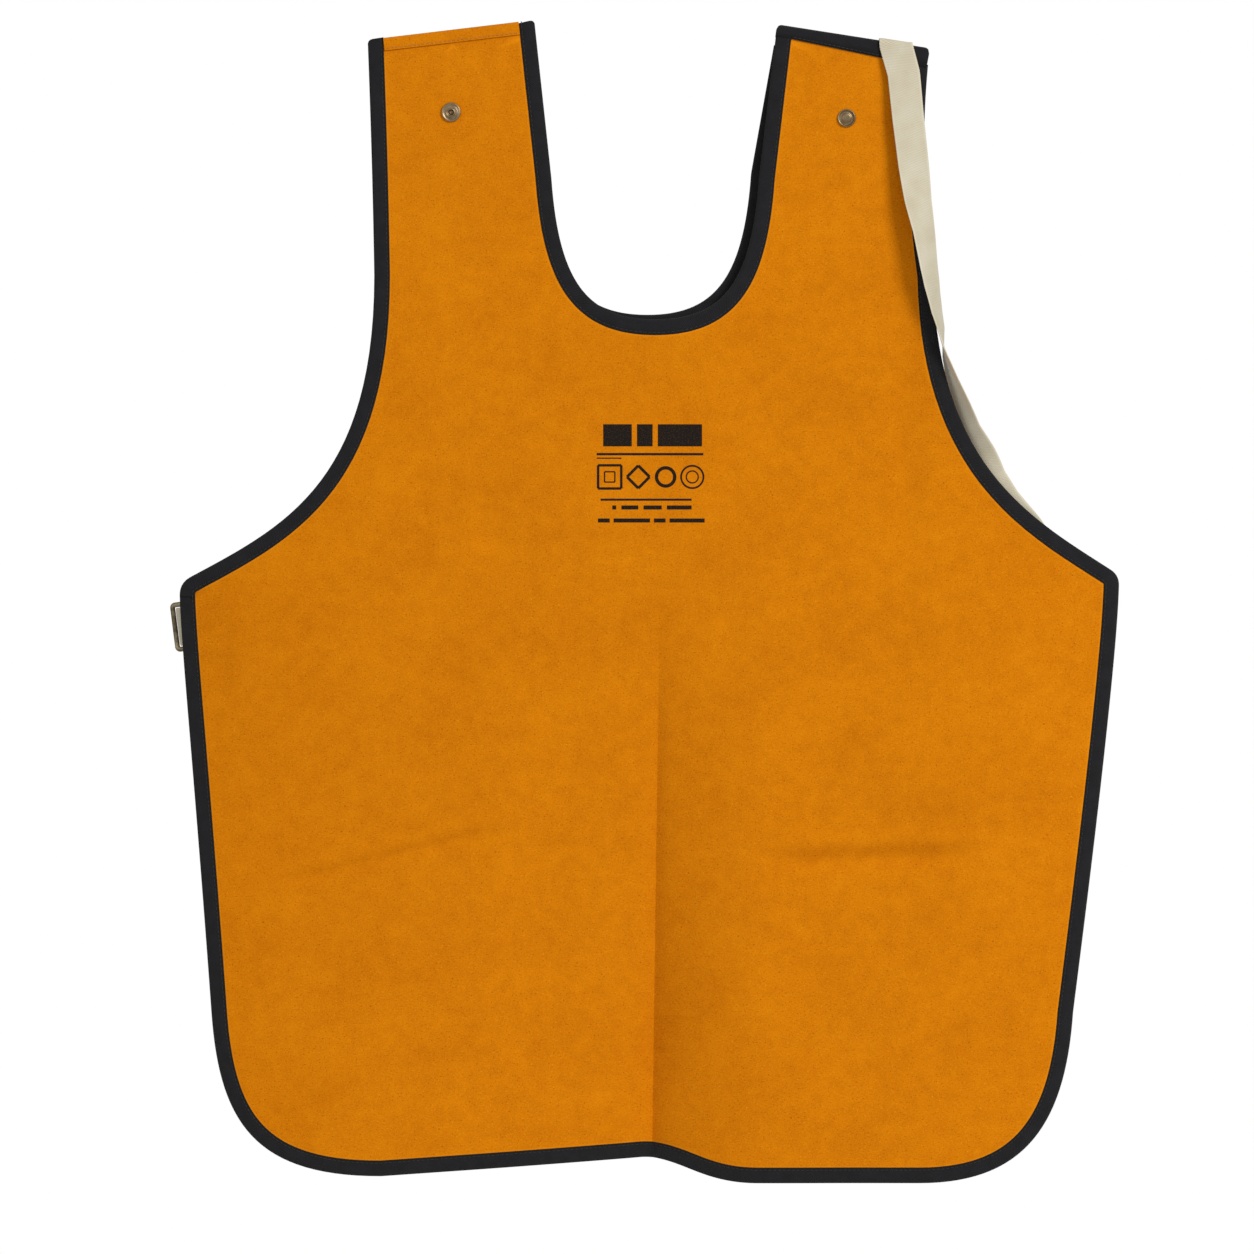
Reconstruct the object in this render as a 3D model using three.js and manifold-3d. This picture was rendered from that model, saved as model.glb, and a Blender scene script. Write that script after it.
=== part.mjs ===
import * as THREE from "three";
import { mergeVertices } from "three/addons/utils/BufferGeometryUtils.js";
import Module from "manifold-3d";

// A split-leather welding apron, hanging from its shoulders.
// Millimetres. +X is to the right as seen from the front, -Y faces the viewer and +Z is up.
// The origin is the middle of the shoulder line. Left and right are as seen from the front.

// Front panel outline
const HIP_HALF_WIDTH = 362;
const HIP_DROP = 430;
const APRON_LENGTH = 892;
const SKIRT_TAPER = 25;
const SKIRT_CORNER = 130;
const STRAP_HALF_SPAN = 216;
const SHOULDER_SLOPE = 18;
const NECK_HALF_WIDTH = 93;
const NECK_DEPTH = 230;
const NECK_TAPER = 12;
const NECK_BOWL = 110;
const ARMHOLE_START = 195;
const STRAP_TAPER = 5;

// The right strap hangs a little lower and further out than the left one.
const DRAPE = {
  left: { sign: -1, shift: 0, drop: 0, pinch: 1 },
  right: { sign: 1, shift: 4, drop: 3, pinch: 11 },
};

// Hanging folds of the skirt
const CREASE_X = 2;
const CREASE_TOP = 330;
const CREASE_DEPTH = 30;
const CREASE_LEFT_RUN = 240;
const CREASE_RIGHT_RUN = 80;
const HEM_RISE = 18;
const SIDE_FALL_BACK = 20;
const SIDE_FALL_START = 200;

// Materials' thicknesses and the sewn edge
const LEATHER = 2;
const FOLD_HIDE = 1.2;
const TAPE = 0.8;
const WEBBING = 1.5;
const WEBBING_WIDTH = 25.4;
const BINDING_WIDTH = 11;
const GAP = 0.3;

// Back yoke
const YOKE_Y = 10;
const YOKE_INSET = 6;
const YOKE_BAND = 92;
const YOKE_CORNER = 36;
const YOKE_TOP_DROP = 2;

// Shoulder seams
const LEFT_SEAM_LEG = 8.5;
const RIGHT_SEAM_LEG = 13;
const FRONT_TAPE_CLEARANCE = 3;
const YOKE_TAPE_CLEARANCE = 4;

// Snaps
const SNAP_DROP = 62;
const SNAP_HOLE_RADIUS = 2.2;
const SNAP_POST_RADIUS = 1.8;
const SOCKET_RADIUS = 7.45;
const STUD_RADIUS = 7;
const POST_CAP_RADIUS = 5.5;

// Belt and buckle
const BELT_TAIL_LENGTH = 440;
const BUCKLE_WIDTH = 20;
const BUCKLE_BAR = 3;
const SLOT_SLACK = 3.5;
const BUCKLE_LENGTH = WEBBING_WIDTH + 2 * (SLOT_SLACK + BUCKLE_BAR);
const BUCKLE_OVERHANG = 8;
const BUCKLE_DROP = 32.7;
const LOOP_SLACK = 2.4;
const BUCKLE_THICKNESS = 2.4;
const BUCKLE_TILT = 0.13;
const TAB_HINGE = 17;
const TAB_REACH = 48;

const wasm = await Module();
wasm.setup();

const point = (x, z) => new THREE.Vector2(x, z);

// --- The surface that the front panel hangs in -------------------------------------------------

function smooth(t) {
  const clamped = THREE.MathUtils.clamp(t, 0, 1);
  return clamped * clamped * (3 - 2 * clamped);
}

// Share of the crease's depth at x: 1 on the crease line and 0 past the end of each run.
function creaseShare(x) {
  const run = x < CREASE_X ? CREASE_LEFT_RUN : CREASE_RIGHT_RUN;
  const away = Math.min(1, Math.abs(x - CREASE_X) / run);
  return (1 - away) ** 1.6;
}

// How far the hide stands behind the shoulder plane.
function hang(x, z) {
  const fall = smooth((-z - CREASE_TOP) / (APRON_LENGTH - CREASE_TOP));
  const outward = Math.max(0, Math.abs(x) - SIDE_FALL_START) / (HIP_HALF_WIDTH - SIDE_FALL_START);
  const below = smooth((-z - ARMHOLE_START) / (HIP_DROP - ARMHOLE_START));
  return CREASE_DEPTH * fall * creaseShare(x) + SIDE_FALL_BACK * below * outward ** 2;
}

const flatYoke = () => YOKE_Y;

// --- Outlines ----------------------------------------------------------------------------------

const shoulderOuter = (side) => point(
  side.sign * (STRAP_HALF_SPAN - 0.5 * side.shift), -SHOULDER_SLOPE + 3 - 2 * side.drop);
const shoulderNeck = (side) => point(side.sign * (NECK_HALF_WIDTH - 3) + 2.2 * side.shift, -side.drop);
const strapFoot = (side) => point(
  side.sign * (STRAP_HALF_SPAN - STRAP_TAPER) + 1.4 * side.shift, -ARMHOLE_START);
const hipCorner = (side) => point(
  side.sign * (HIP_HALF_WIDTH - 0.25 * side.shift), -HIP_DROP - 2 + 2 * side.drop);
const skirtFoot = (side) => point(
  side.sign * (HIP_HALF_WIDTH - SKIRT_TAPER - 3 * side.shift), -APRON_LENGTH + SKIRT_CORNER);
const hemEnd = (side) => point(
  side.sign * (HIP_HALF_WIDTH - SKIRT_TAPER - SKIRT_CORNER), -APRON_LENGTH + 5 - 1.7 * side.drop);

const NECK_MIDDLE = DRAPE.right.shift;

function sampled(path, steps) {
  const points = path.getPoints(steps);
  return points.filter((p, i) => i === 0 || p.distanceTo(points[i - 1]) > 0.01);
}

// From the left shoulder's neck end, round the neck to the right one.
function neckLine(middle, depth, left, right) {
  const wall = NECK_HALF_WIDTH - NECK_TAPER;
  const bowlTop = -depth + NECK_BOWL;
  const path = new THREE.Path();
  path.moveTo(left.x, left.y);
  path.lineTo(middle - wall, bowlTop);
  path.bezierCurveTo(
    middle - 0.93 * wall, bowlTop - 0.73 * NECK_BOWL, middle - 0.66 * wall, -depth, middle, -depth);
  path.bezierCurveTo(
    middle + 0.66 * wall, -depth, middle + 0.93 * wall, bowlTop - 0.73 * NECK_BOWL,
    middle + wall, bowlTop);
  path.lineTo(right.x, right.y);
  return sampled(path, 10);
}

// From a shoulder's outer end down the strap and round the armhole to the hip corner.
function armholeLine(side) {
  const top = shoulderOuter(side);
  const foot = strapFoot(side);
  const hip = hipCorner(side);
  const reach = hip.x - foot.x;
  const drop = hip.y - foot.y;
  const path = new THREE.Path();
  path.moveTo(top.x, top.y);
  const bend = 0.5 * (top.x + foot.x) - side.sign * side.pinch;
  path.quadraticCurveTo(bend, 0.5 * (top.y + foot.y), foot.x, foot.y);
  const ease = 0.02 * side.shift;
  path.bezierCurveTo(
    foot.x + 0.25 * ease * reach, foot.y + (0.7 - 0.4 * ease) * drop,
    foot.x + (0.5 + ease) * reach, foot.y + 0.83 * drop, hip.x, hip.y);
  return sampled(path, 12);
}

// From the hip corner down the side and round the skirt's corner to the hem.
function sideLine(side) {
  const hip = hipCorner(side);
  const foot = skirtFoot(side);
  const hem = hemEnd(side);
  const path = new THREE.Path();
  path.moveTo(hip.x, hip.y);
  path.bezierCurveTo(
    hip.x, hip.y - 40, hip.x - side.sign * 12, hip.y - 0.45 * (hip.y - foot.y), foot.x, foot.y);
  path.bezierCurveTo(
    foot.x - side.sign * 6, foot.y - 0.65 * SKIRT_CORNER,
    hem.x + side.sign * (0.75 - 0.03 * side.shift) * SKIRT_CORNER, hem.y, hem.x, hem.y);
  return sampled(path, 12);
}

// From the right end of the hem to the left end, lifted where the crease draws it back.
function hemLine() {
  const right = hemEnd(DRAPE.right);
  const left = hemEnd(DRAPE.left);
  const lifted = -APRON_LENGTH + HEM_RISE;
  const path = new THREE.Path();
  path.moveTo(right.x, right.y);
  path.lineTo(CREASE_X + CREASE_RIGHT_RUN, right.y);
  path.bezierCurveTo(
    CREASE_X + 0.45 * CREASE_RIGHT_RUN, right.y, CREASE_X + 0.3 * CREASE_RIGHT_RUN, lifted,
    CREASE_X - 0.1 * CREASE_RIGHT_RUN, lifted);
  path.lineTo(left.x, left.y);
  return sampled(path, 8);
}

// The front panel's edges, clockwise from the left shoulder. Each starts where the last one ended.
const neck = neckLine(NECK_MIDDLE, NECK_DEPTH, shoulderNeck(DRAPE.left), shoulderNeck(DRAPE.right));
const leftArmhole = armholeLine(DRAPE.left).reverse();
const skirt = joined(
  armholeLine(DRAPE.right), sideLine(DRAPE.right), hemLine(), sideLine(DRAPE.left).reverse());
const frontOutline = joined(neck, skirt, leftArmhole);

function joined(...lines) {
  const points = lines.flat();
  return points.filter((p, i) => i === 0 || p.distanceTo(points[i - 1]) > 0.01);
}

// The yoke keeps inside the front panel's straps and ends in a band below the neck.
function yokeArmhole(side) {
  const top = shoulderOuter(side);
  const foot = strapFoot(side);
  const edgeX = 0.5 * (top.x + foot.x) - side.sign * (0.5 * side.pinch + YOKE_INSET);
  const bottom = -NECK_DEPTH - YOKE_BAND;
  const path = new THREE.Path();
  path.moveTo(edgeX, top.y - YOKE_TOP_DROP);
  path.lineTo(edgeX, bottom + YOKE_CORNER);
  path.quadraticCurveTo(edgeX, bottom, edgeX - side.sign * YOKE_CORNER, bottom);
  return sampled(path, 6);
}

function loweredNeckEnd(side) {
  const end = shoulderNeck(side);
  return point(end.x, end.y - YOKE_TOP_DROP);
}

const yokeNeck = neckLine(
  NECK_MIDDLE - YOKE_INSET, NECK_DEPTH - 4, loweredNeckEnd(DRAPE.left), loweredNeckEnd(DRAPE.right));
const yokeEdge = joined(yokeArmhole(DRAPE.right), yokeArmhole(DRAPE.left).reverse());
const yokeOutline = joined(yokeNeck, yokeEdge);

// --- Solids ------------------------------------------------------------------------------------

function toSolid(geometry) {
  const bare = geometry.clone();
  bare.deleteAttribute("normal");
  bare.deleteAttribute("uv");
  const merged = mergeVertices(bare, 1e-4);
  const mesh = new wasm.Mesh({
    numProp: 3,
    vertProperties: new Float32Array(merged.attributes.position.array),
    triVerts: new Uint32Array(merged.index.array),
  });
  return new wasm.Manifold(mesh);
}

function toGeometry(solid) {
  const mesh = solid.getMesh();
  const geometry = new THREE.BufferGeometry();
  geometry.setAttribute("position", new THREE.BufferAttribute(mesh.vertProperties, 3));
  geometry.setIndex(new THREE.BufferAttribute(mesh.triVerts, 1));
  geometry.computeVertexNormals();
  return geometry;
}

// A straight-sided block of an outline drawn in X and Z, deep enough to cross the whole apron.
function prism(outline) {
  const depth = 200;
  const geometry = new THREE.ExtrudeGeometry(
    new THREE.Shape(outline), { depth, bevelEnabled: false });
  geometry.rotateX(Math.PI / 2);
  geometry.translate(0, depth / 2, 0);
  return toSolid(geometry);
}

// Grid lines that crowd towards the crease.
function columns() {
  const half = 14;
  const reach = HIP_HALF_WIDTH + 40;
  const lines = [];
  for (let i = -half; i <= half; i += 1) {
    lines.push(CREASE_X + Math.sign(i) * reach * Math.abs(i / half) ** 1.5);
  }
  return lines;
}

function rows() {
  const count = 12;
  const bottom = -APRON_LENGTH - 20;
  return Array.from({ length: count + 1 }, (_, i) => bottom + (20 - bottom) * (i / count));
}

// A closed layer of cloth or hide that follows a surface, from front to back of it.
function layer(surface, front, back) {
  const xs = columns();
  const zs = rows();
  const positions = [];
  const triangles = [];
  for (const offset of [front, back]) {
    for (const z of zs) {
      xs.forEach((x) => positions.push(x, surface(x, z) + offset, z));
    }
  }
  const behind = xs.length * zs.length;
  const at = (i, j) => j * xs.length + i;
  for (let j = 0; j < zs.length - 1; j += 1) {
    for (let i = 0; i < xs.length - 1; i += 1) {
      const [a, b, c, d] = [at(i, j), at(i + 1, j), at(i + 1, j + 1), at(i, j + 1)];
      triangles.push(a, b, c, a, c, d);
      triangles.push(a + behind, c + behind, b + behind, a + behind, d + behind, c + behind);
    }
  }
  rimLoop(xs.length, zs.length, at).forEach(([p, q]) => {
    triangles.push(q, p, p + behind, q, p + behind, q + behind);
  });
  const geometry = new THREE.BufferGeometry();
  geometry.setAttribute("position", new THREE.Float32BufferAttribute(positions, 3));
  geometry.setIndex(triangles);
  return toSolid(geometry);
}

// The grid's edge as pairs of neighbours, anticlockwise as seen from the front.
function rimLoop(width, height, at) {
  const loop = [];
  for (let i = 0; i < width - 1; i += 1) loop.push(at(i, 0));
  for (let j = 0; j < height - 1; j += 1) loop.push(at(width - 1, j));
  for (let i = width - 1; i > 0; i -= 1) loop.push(at(i, height - 1));
  for (let j = height - 1; j > 0; j -= 1) loop.push(at(0, j));
  return loop.map((p, i) => [p, loop[(i + 1) % loop.length]]);
}

// Moves each point of a clockwise line sideways: inward for a positive distance.
function offset(line, distance, closed) {
  const count = line.length;
  return line.map((p, i) => {
    const before = closed || i > 0 ? line[(i - 1 + count) % count] : null;
    const after = closed || i < count - 1 ? line[(i + 1) % count] : null;
    const first = inward(before ?? p, before ? p : after);
    const second = inward(after ? p : before, after ?? p);
    const mean = first.clone().add(second).normalize();
    return p.clone().addScaledVector(mean, distance / mean.dot(first));
  });
}

function inward(from, to) {
  return point(to.y - from.y, from.x - to.x).normalize();
}

// The strip beside a line, from just outside it to the binding's inner edge.
function band(line, outer, inner) {
  return prism([...offset(line, -outer, false), ...offset(line, inner, false).reverse()]);
}

// A line without its first and last stretch.
function trimmed(line, start, end) {
  const cut = (points, length) => {
    const rest = points.slice();
    let left = length;
    while (left > 0 && rest[0].distanceTo(rest[1]) <= left) {
      left -= rest[0].distanceTo(rest[1]);
      rest.shift();
    }
    rest[0] = rest[0].clone().lerp(rest[1], left / rest[0].distanceTo(rest[1]));
    return rest;
  };
  return cut(cut(line, start).reverse(), end).reverse();
}

const SLEEVE = LEATHER / 2 + GAP;
const BINDING_FACE = SLEEVE + TAPE;

// Tape folded over an edge of a sheet: a channel that the sheet's edge sits in.
function binding(line, outline, surface) {
  const shell = band(line, GAP + TAPE, BINDING_WIDTH).intersect(
    layer(surface, -BINDING_FACE, BINDING_FACE));
  const pocket = prism(offset(outline, -GAP, true)).intersect(layer(surface, -SLEEVE, SLEEVE));
  return shell.subtract(pocket);
}

function sheet(outline, surface) {
  return prism(outline).intersect(layer(surface, -LEATHER / 2, LEATHER / 2));
}

// A round bar along Y.
function pin(x, z, radius) {
  const geometry = new THREE.CylinderGeometry(radius, radius, 40, 24);
  geometry.translate(x, 0, z);
  return toSolid(geometry);
}

// A turned part whose axis runs along Y. The profile holds [radius, y] pairs.
function turned(profile, x, z) {
  const points = profile.map(([radius, y]) => point(radius, y));
  const geometry = new THREE.LatheGeometry(points, 32);
  geometry.translate(x, 0, z);
  return geometry;
}

// A flat strap: each station is [x, y, z, width direction].
function ribbon(stations) {
  const centres = stations.map(([x, y, z]) => new THREE.Vector3(x, y, z));
  const positions = [];
  stations.forEach(([, , , across], i) => {
    const before = centres[Math.max(0, i - 1)];
    const after = centres[Math.min(centres.length - 1, i + 1)];
    const along = after.clone().sub(before).normalize();
    const width = new THREE.Vector3(...across);
    width.addScaledVector(along, -width.dot(along)).normalize();
    const thick = along.clone().cross(width);
    for (const [w, t] of [[-1, -1], [1, -1], [1, 1], [-1, 1]]) {
      const corner = centres[i].clone();
      corner.addScaledVector(width, (w * WEBBING_WIDTH) / 2).addScaledVector(thick, (t * WEBBING) / 2);
      positions.push(...corner.toArray());
    }
  });
  return tube(positions, stations.length);
}

// Adds stations between the given ones, so that a twist turns in small steps.
function refined(stations, steps) {
  const mix = (from, to, t) => from.map((value, k) => THREE.MathUtils.lerp(value, to[k], t));
  const between = stations.slice(1).flatMap((to, i) => {
    const from = stations[i];
    return Array.from({ length: steps }, (_, k) => {
      const t = (k + 1) / steps;
      return [...mix(from.slice(0, 3), to.slice(0, 3), t), mix(from[3], to[3], t)];
    });
  });
  return [stations[0], ...between];
}

// Closes a run of four-cornered sections into one solid.
function tube(positions, sections) {
  const triangles = [0, 3, 2, 0, 2, 1];
  for (let i = 0; i < sections - 1; i += 1) {
    for (let k = 0; k < 4; k += 1) {
      const a = 4 * i + k;
      const b = 4 * i + ((k + 1) % 4);
      triangles.push(a, b, b + 4, a, b + 4, a + 4);
    }
  }
  const last = 4 * (sections - 1);
  triangles.push(last, last + 1, last + 2, last, last + 2, last + 3);
  const geometry = new THREE.BufferGeometry();
  geometry.setAttribute("position", new THREE.Float32BufferAttribute(positions, 3));
  geometry.setIndex(triangles);
  geometry.computeVertexNormals();
  return geometry;
}

// --- Sub-parts ---------------------------------------------------------------------------------

const MATERIALS = {
  leather: { color: "#cd7605", roughness: 0.95, metalness: 0 },
  tape: { color: "#242426", roughness: 0.8, metalness: 0 },
  webbing: { color: "#d8cdb4", roughness: 0.9, metalness: 0 },
  brass: { color: "#8c7048", roughness: 0.4, metalness: 1 },
};

const apron = new THREE.Group();

function addPart(name, geometry, material) {
  const mesh = new THREE.Mesh(geometry, new THREE.MeshStandardMaterial(MATERIALS[material]));
  mesh.name = name;
  apron.add(mesh);
  return mesh;
}

// The middle of a strap, a given way below its shoulder line.
function strapMiddle(side, drop) {
  const middle = shoulderOuter(side).add(shoulderNeck(side)).multiplyScalar(0.5);
  return point(middle.x - 1.3 * side.shift, middle.y - drop);
}

function addFrontPanel() {
  let hide = sheet(frontOutline, hang);
  for (const side of [DRAPE.left, DRAPE.right]) {
    const at = strapMiddle(side, SNAP_DROP);
    hide = hide.subtract(pin(at.x, at.y, SNAP_HOLE_RADIUS));
  }
  addPart("front_panel", toGeometry(hide), "leather");
}

function addFrontBindings() {
  const belowTape = RIGHT_SEAM_LEG + FRONT_TAPE_CLEARANCE;
  const neckEdge = trimmed(neck, 0, belowTape);
  addPart("neck_binding", toGeometry(binding(neckEdge, frontOutline, hang)), "tape");
  addPart("left_armhole_binding", toGeometry(binding(leftArmhole, frontOutline, hang)), "tape");
  const corner = band(trimmed(leftArmhole, 0, 60), TAPE + 2 * GAP, BINDING_WIDTH + GAP);
  const skirtEdge = trimmed(skirt, belowTape, GAP);
  const skirtTape = binding(skirtEdge, frontOutline, hang).subtract(corner);
  addPart("skirt_binding", toGeometry(skirtTape), "tape");
}

// How far along the shoulder, from where an edge line starts, a seam clears that edge's binding
// from its crown down to the foot of its leg.
function clearOfBinding(start, other, edge, leg, crown) {
  const along = other.clone().sub(start).normalize();
  const down = point(along.y, -along.x).multiplyScalar(Math.sign(along.x));
  const normal = inward(edge[0], edge[1]);
  if (normal.dot(along) < 0) normal.negate();
  const lean = down.dot(normal);
  return (BINDING_WIDTH + GAP - Math.min(leg * lean, -crown * lean)) / along.dot(normal);
}

// A seam over a shoulder: a bridge from the front panel's top edge back to the yoke. It ends at
// the bindings where these run up to the shoulder, and covers them where it is given no lines.
function addShoulderSeam(name, side, leg, thickness, material, edges) {
  const [outer, inner] = [shoulderOuter(side), shoulderNeck(side)];
  const crown = GAP + thickness;
  const outerInset = edges ? clearOfBinding(outer, inner, edges.armhole, leg, crown) : 0;
  const innerInset = edges ? clearOfBinding(inner, outer, edges.neck, leg, crown) : 0;
  const across = inner.clone().sub(outer).normalize();
  const ends = [
    outer.addScaledVector(across, outerInset), inner.addScaledVector(across, -innerInset),
  ].sort((a, b) => a.x - b.x);
  const slope = Math.atan2(ends[1].y - ends[0].y, ends[1].x - ends[0].x);
  const length = ends[0].distanceTo(ends[1]);
  const front = -SLEEVE;
  const back = YOKE_Y - LEATHER / 2 - 2 * GAP - thickness;
  const section = new THREE.Shape();
  section.moveTo(front, -leg);
  section.lineTo(front - thickness, -leg);
  section.lineTo(front - thickness, GAP);
  section.quadraticCurveTo(front - thickness, GAP + thickness, front + GAP, GAP + thickness);
  section.lineTo(back - GAP, GAP + thickness);
  section.quadraticCurveTo(back + thickness, GAP + thickness, back + thickness, GAP);
  section.lineTo(back + thickness, -LEFT_SEAM_LEG);
  section.lineTo(back, -LEFT_SEAM_LEG);
  section.lineTo(back, GAP);
  section.lineTo(front, GAP);
  section.closePath();
  const geometry = new THREE.ExtrudeGeometry(
    section, { depth: length, bevelEnabled: false, curveSegments: 3 });
  geometry.rotateX(Math.PI / 2).rotateZ(Math.PI / 2);
  geometry.translate(-length / 2, 0, 0);
  const mesh = addPart(name, geometry, material);
  const middle = ends[0].clone().add(ends[1]).multiplyScalar(0.5);
  mesh.position.set(middle.x, 0, middle.y);
  mesh.rotation.y = -slope;
}

function addSnaps() {
  const face = -LEATHER / 2 - GAP;
  const left = strapMiddle(DRAPE.left, SNAP_DROP);
  const rim = SOCKET_RADIUS;
  const socket = [
    [SNAP_POST_RADIUS + GAP, face], [SNAP_POST_RADIUS + GAP, face - 0.8], [rim - 4.5, face - 0.8],
    [rim - 4, face - 1.2], [rim - 1.8, face - 1.2], [rim - 0.6, face - 1.6], [rim, face - 0.6],
    [rim - 0.5, face], [SNAP_POST_RADIUS + GAP, face],
  ];
  addPart("left_snap_socket", turned(socket, left.x, left.y), "brass");
  addPart("left_snap_post", turned(postProfile(face - 0.6), left.x, left.y), "brass");

  const right = strapMiddle(DRAPE.right, SNAP_DROP);
  const cup = STUD_RADIUS;
  const stud = [
    [SNAP_POST_RADIUS + GAP, face], [SNAP_POST_RADIUS + GAP, face - 0.8], [2.8, face - 2.8],
    [0, face - 2.8], [0, face - 3.6], [3.2, face - 3.6], [3.8, face - 3], [3.4, face - 1.6],
    [4, face - 0.8], [cup - 1.6, face - 0.8], [cup - 0.6, face - 1.6], [cup, face - 0.6],
    [cup - 0.5, face], [SNAP_POST_RADIUS + GAP, face],
  ];
  addPart("right_snap_stud", turned(stud, right.x, right.y), "brass");
  addPart("right_snap_post", turned(postProfile(face - 0.6), right.x, right.y), "brass");
}

// A rivet: a domed cap behind the hide and a shank through it.
function postProfile(tip) {
  const seat = LEATHER / 2 + GAP;
  return [
    [0, tip], [SNAP_POST_RADIUS, tip], [SNAP_POST_RADIUS, seat], [POST_CAP_RADIUS, seat],
    [POST_CAP_RADIUS - 0.5, seat + 0.8], [POST_CAP_RADIUS - 2.5, seat + 1.3], [0, seat + 1.4],
  ];
}

function addYoke() {
  addPart("back_yoke", toGeometry(sheet(yokeOutline, flatYoke)), "leather");
  const belowSeam = LEFT_SEAM_LEG + YOKE_TAPE_CLEARANCE;
  const neckEdge = trimmed(yokeNeck, belowSeam, belowSeam);
  const outerEdge = trimmed(yokeEdge, belowSeam, belowSeam);
  addPart("yoke_neck_binding", toGeometry(binding(neckEdge, yokeOutline, flatYoke)), "tape");
  addPart("yoke_outer_binding", toGeometry(binding(outerEdge, yokeOutline, flatYoke)), "tape");
}

const BELT_FRONT_Y = -BINDING_FACE - GAP - WEBBING / 2 - 0.4;
const TAIL_Y = YOKE_Y + BINDING_FACE + GAP + WEBBING / 2;

// Where the belt crosses the right shoulder, and the lie of that shoulder.
function beltCrossing() {
  const outer = shoulderOuter(DRAPE.right);
  const inner = shoulderNeck(DRAPE.right);
  const slope = outer.clone().sub(inner).normalize();
  return { at: outer.clone().addScaledVector(slope, -WEBBING_WIDTH), slope };
}

// Where a line that falls all the way crosses a level.
function crossingX(line, level) {
  const i = line.findIndex((p, k) => k > 0 && p.y <= level);
  const [above, below] = [line[i - 1], line[i]];
  return THREE.MathUtils.lerp(above.x, below.x, (above.y - level) / (above.y - below.y));
}

// From behind the right hip, round the armhole's edge, up the strap and over the shoulder.
function addWaistBelt() {
  const { at, slope } = beltCrossing();
  const crest = at.y + GAP + TAPE + GAP + WEBBING / 2 + 0.3;
  const flat = [slope.x, 0, slope.y];
  const edge = strapFoot(DRAPE.right);
  const hip = hipCorner(DRAPE.right);
  const armhole = armholeLine(DRAPE.right);
  const turn = (degrees) => {
    const angle = THREE.MathUtils.degToRad(degrees);
    return [Math.cos(angle), Math.sin(angle), 0];
  };
  const behind = (x, z) => {
    const tilt = (hang(x + WEBBING_WIDTH / 2, z) - hang(x - WEBBING_WIDTH / 2, z)) / WEBBING_WIDTH;
    return [x, hang(x, z) + BINDING_FACE + GAP + WEBBING, z, [-1, -tilt, 0]];
  };
  // Outside the armhole's edge, a given way below the foot of the strap.
  const beside = (out, y, drop, degrees) => {
    const z = edge.y - drop;
    return [crossingX(armhole, z) + out, y, z, turn(degrees)];
  };
  // Behind the hide, at shares of the armhole's reach and drop.
  const tucked = (reach, drop) => behind(
    THREE.MathUtils.lerp(edge.x, hip.x, reach), THREE.MathUtils.lerp(edge.y, hip.y, drop));
  const route = [
    [at.x, YOKE_Y + 1.5, crest - 1, flat],
    [at.x, YOKE_Y - 2, crest, flat],
    [at.x, -1, crest, flat],
    [at.x, BELT_FRONT_Y + 0.3, crest - 1, flat],
    [at.x + 0.2, BELT_FRONT_Y, crest - 3.5, flat],
    [at.x + 6.1, BELT_FRONT_Y - 1.35, crest - 25.4, turn(8)],
    [at.x + 9.5, BELT_FRONT_Y - 3.1, crest - 60.4, turn(14)],
    [edge.x - 13.9, BELT_FRONT_Y - 3.6, edge.y + 83, turn(20)],
    [edge.x - 10.8, BELT_FRONT_Y - 4.6, edge.y + 58, turn(32)],
    [edge.x - 6.2, BELT_FRONT_Y - 4.9, edge.y + 34, turn(46)],
    [edge.x - 2.7, BELT_FRONT_Y - 5.3, edge.y + 9, turn(55)],
    beside(-0.6, BELT_FRONT_Y - 4, 4, 59),
    beside(1.2, -5, 16, 65),
    beside(2.7, -2.6, 28, 69),
    beside(4.3, -1, 40, 75),
    beside(5.1, 0, 53, 84),
    beside(6.4, 1, 63, 92),
    beside(8.3, 2.5, 81, 106),
    beside(7.5, 3.5, 100, 122),
    beside(5.9, 4.5, 118, 140),
    beside(6.4, 5.5, 136, 158),
    tucked(0.31, 0.671),
    tucked(0.39, 0.751),
    tucked(0.5125, 0.84),
    behind(hip.x - 30, hip.y - 22),
    behind(hip.x - 14, hip.y - 46),
  ];
  addPart("waist_belt", ribbon(refined(route, 3)), "webbing");
}

function addBeltTail() {
  const { at, slope } = beltCrossing();
  const top = at.y - 4;
  const steps = 8;
  const stations = Array.from({ length: steps + 1 }, (_, i) => [
    at.x - 0.5 * i, TAIL_Y, top - (BELT_TAIL_LENGTH * i) / steps, [slope.x, 0, slope.y]]);
  addPart("belt_tail", ribbon(stations), "webbing");
}

// The buckle's own frame: x across the bars and away from the skirt's edge, z along them.
function buckleFrame() {
  const frame = roundedRect(BUCKLE_WIDTH, BUCKLE_LENGTH, BUCKLE_BAR);
  const slotWidth = (BUCKLE_WIDTH - 3 * BUCKLE_BAR) / 2;
  const slotLength = BUCKLE_LENGTH - 2 * BUCKLE_BAR;
  for (const side of [-1, 1]) {
    frame.holes.push(roundedRect(slotWidth, slotLength, 1, (side * (slotWidth + BUCKLE_BAR)) / 2));
  }
  const geometry = new THREE.ExtrudeGeometry(
    frame, { depth: BUCKLE_THICKNESS, bevelEnabled: false, curveSegments: 3 });
  geometry.rotateX(Math.PI / 2);
  geometry.translate(0, BUCKLE_THICKNESS / 2, 0);
  return geometry;
}

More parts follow.
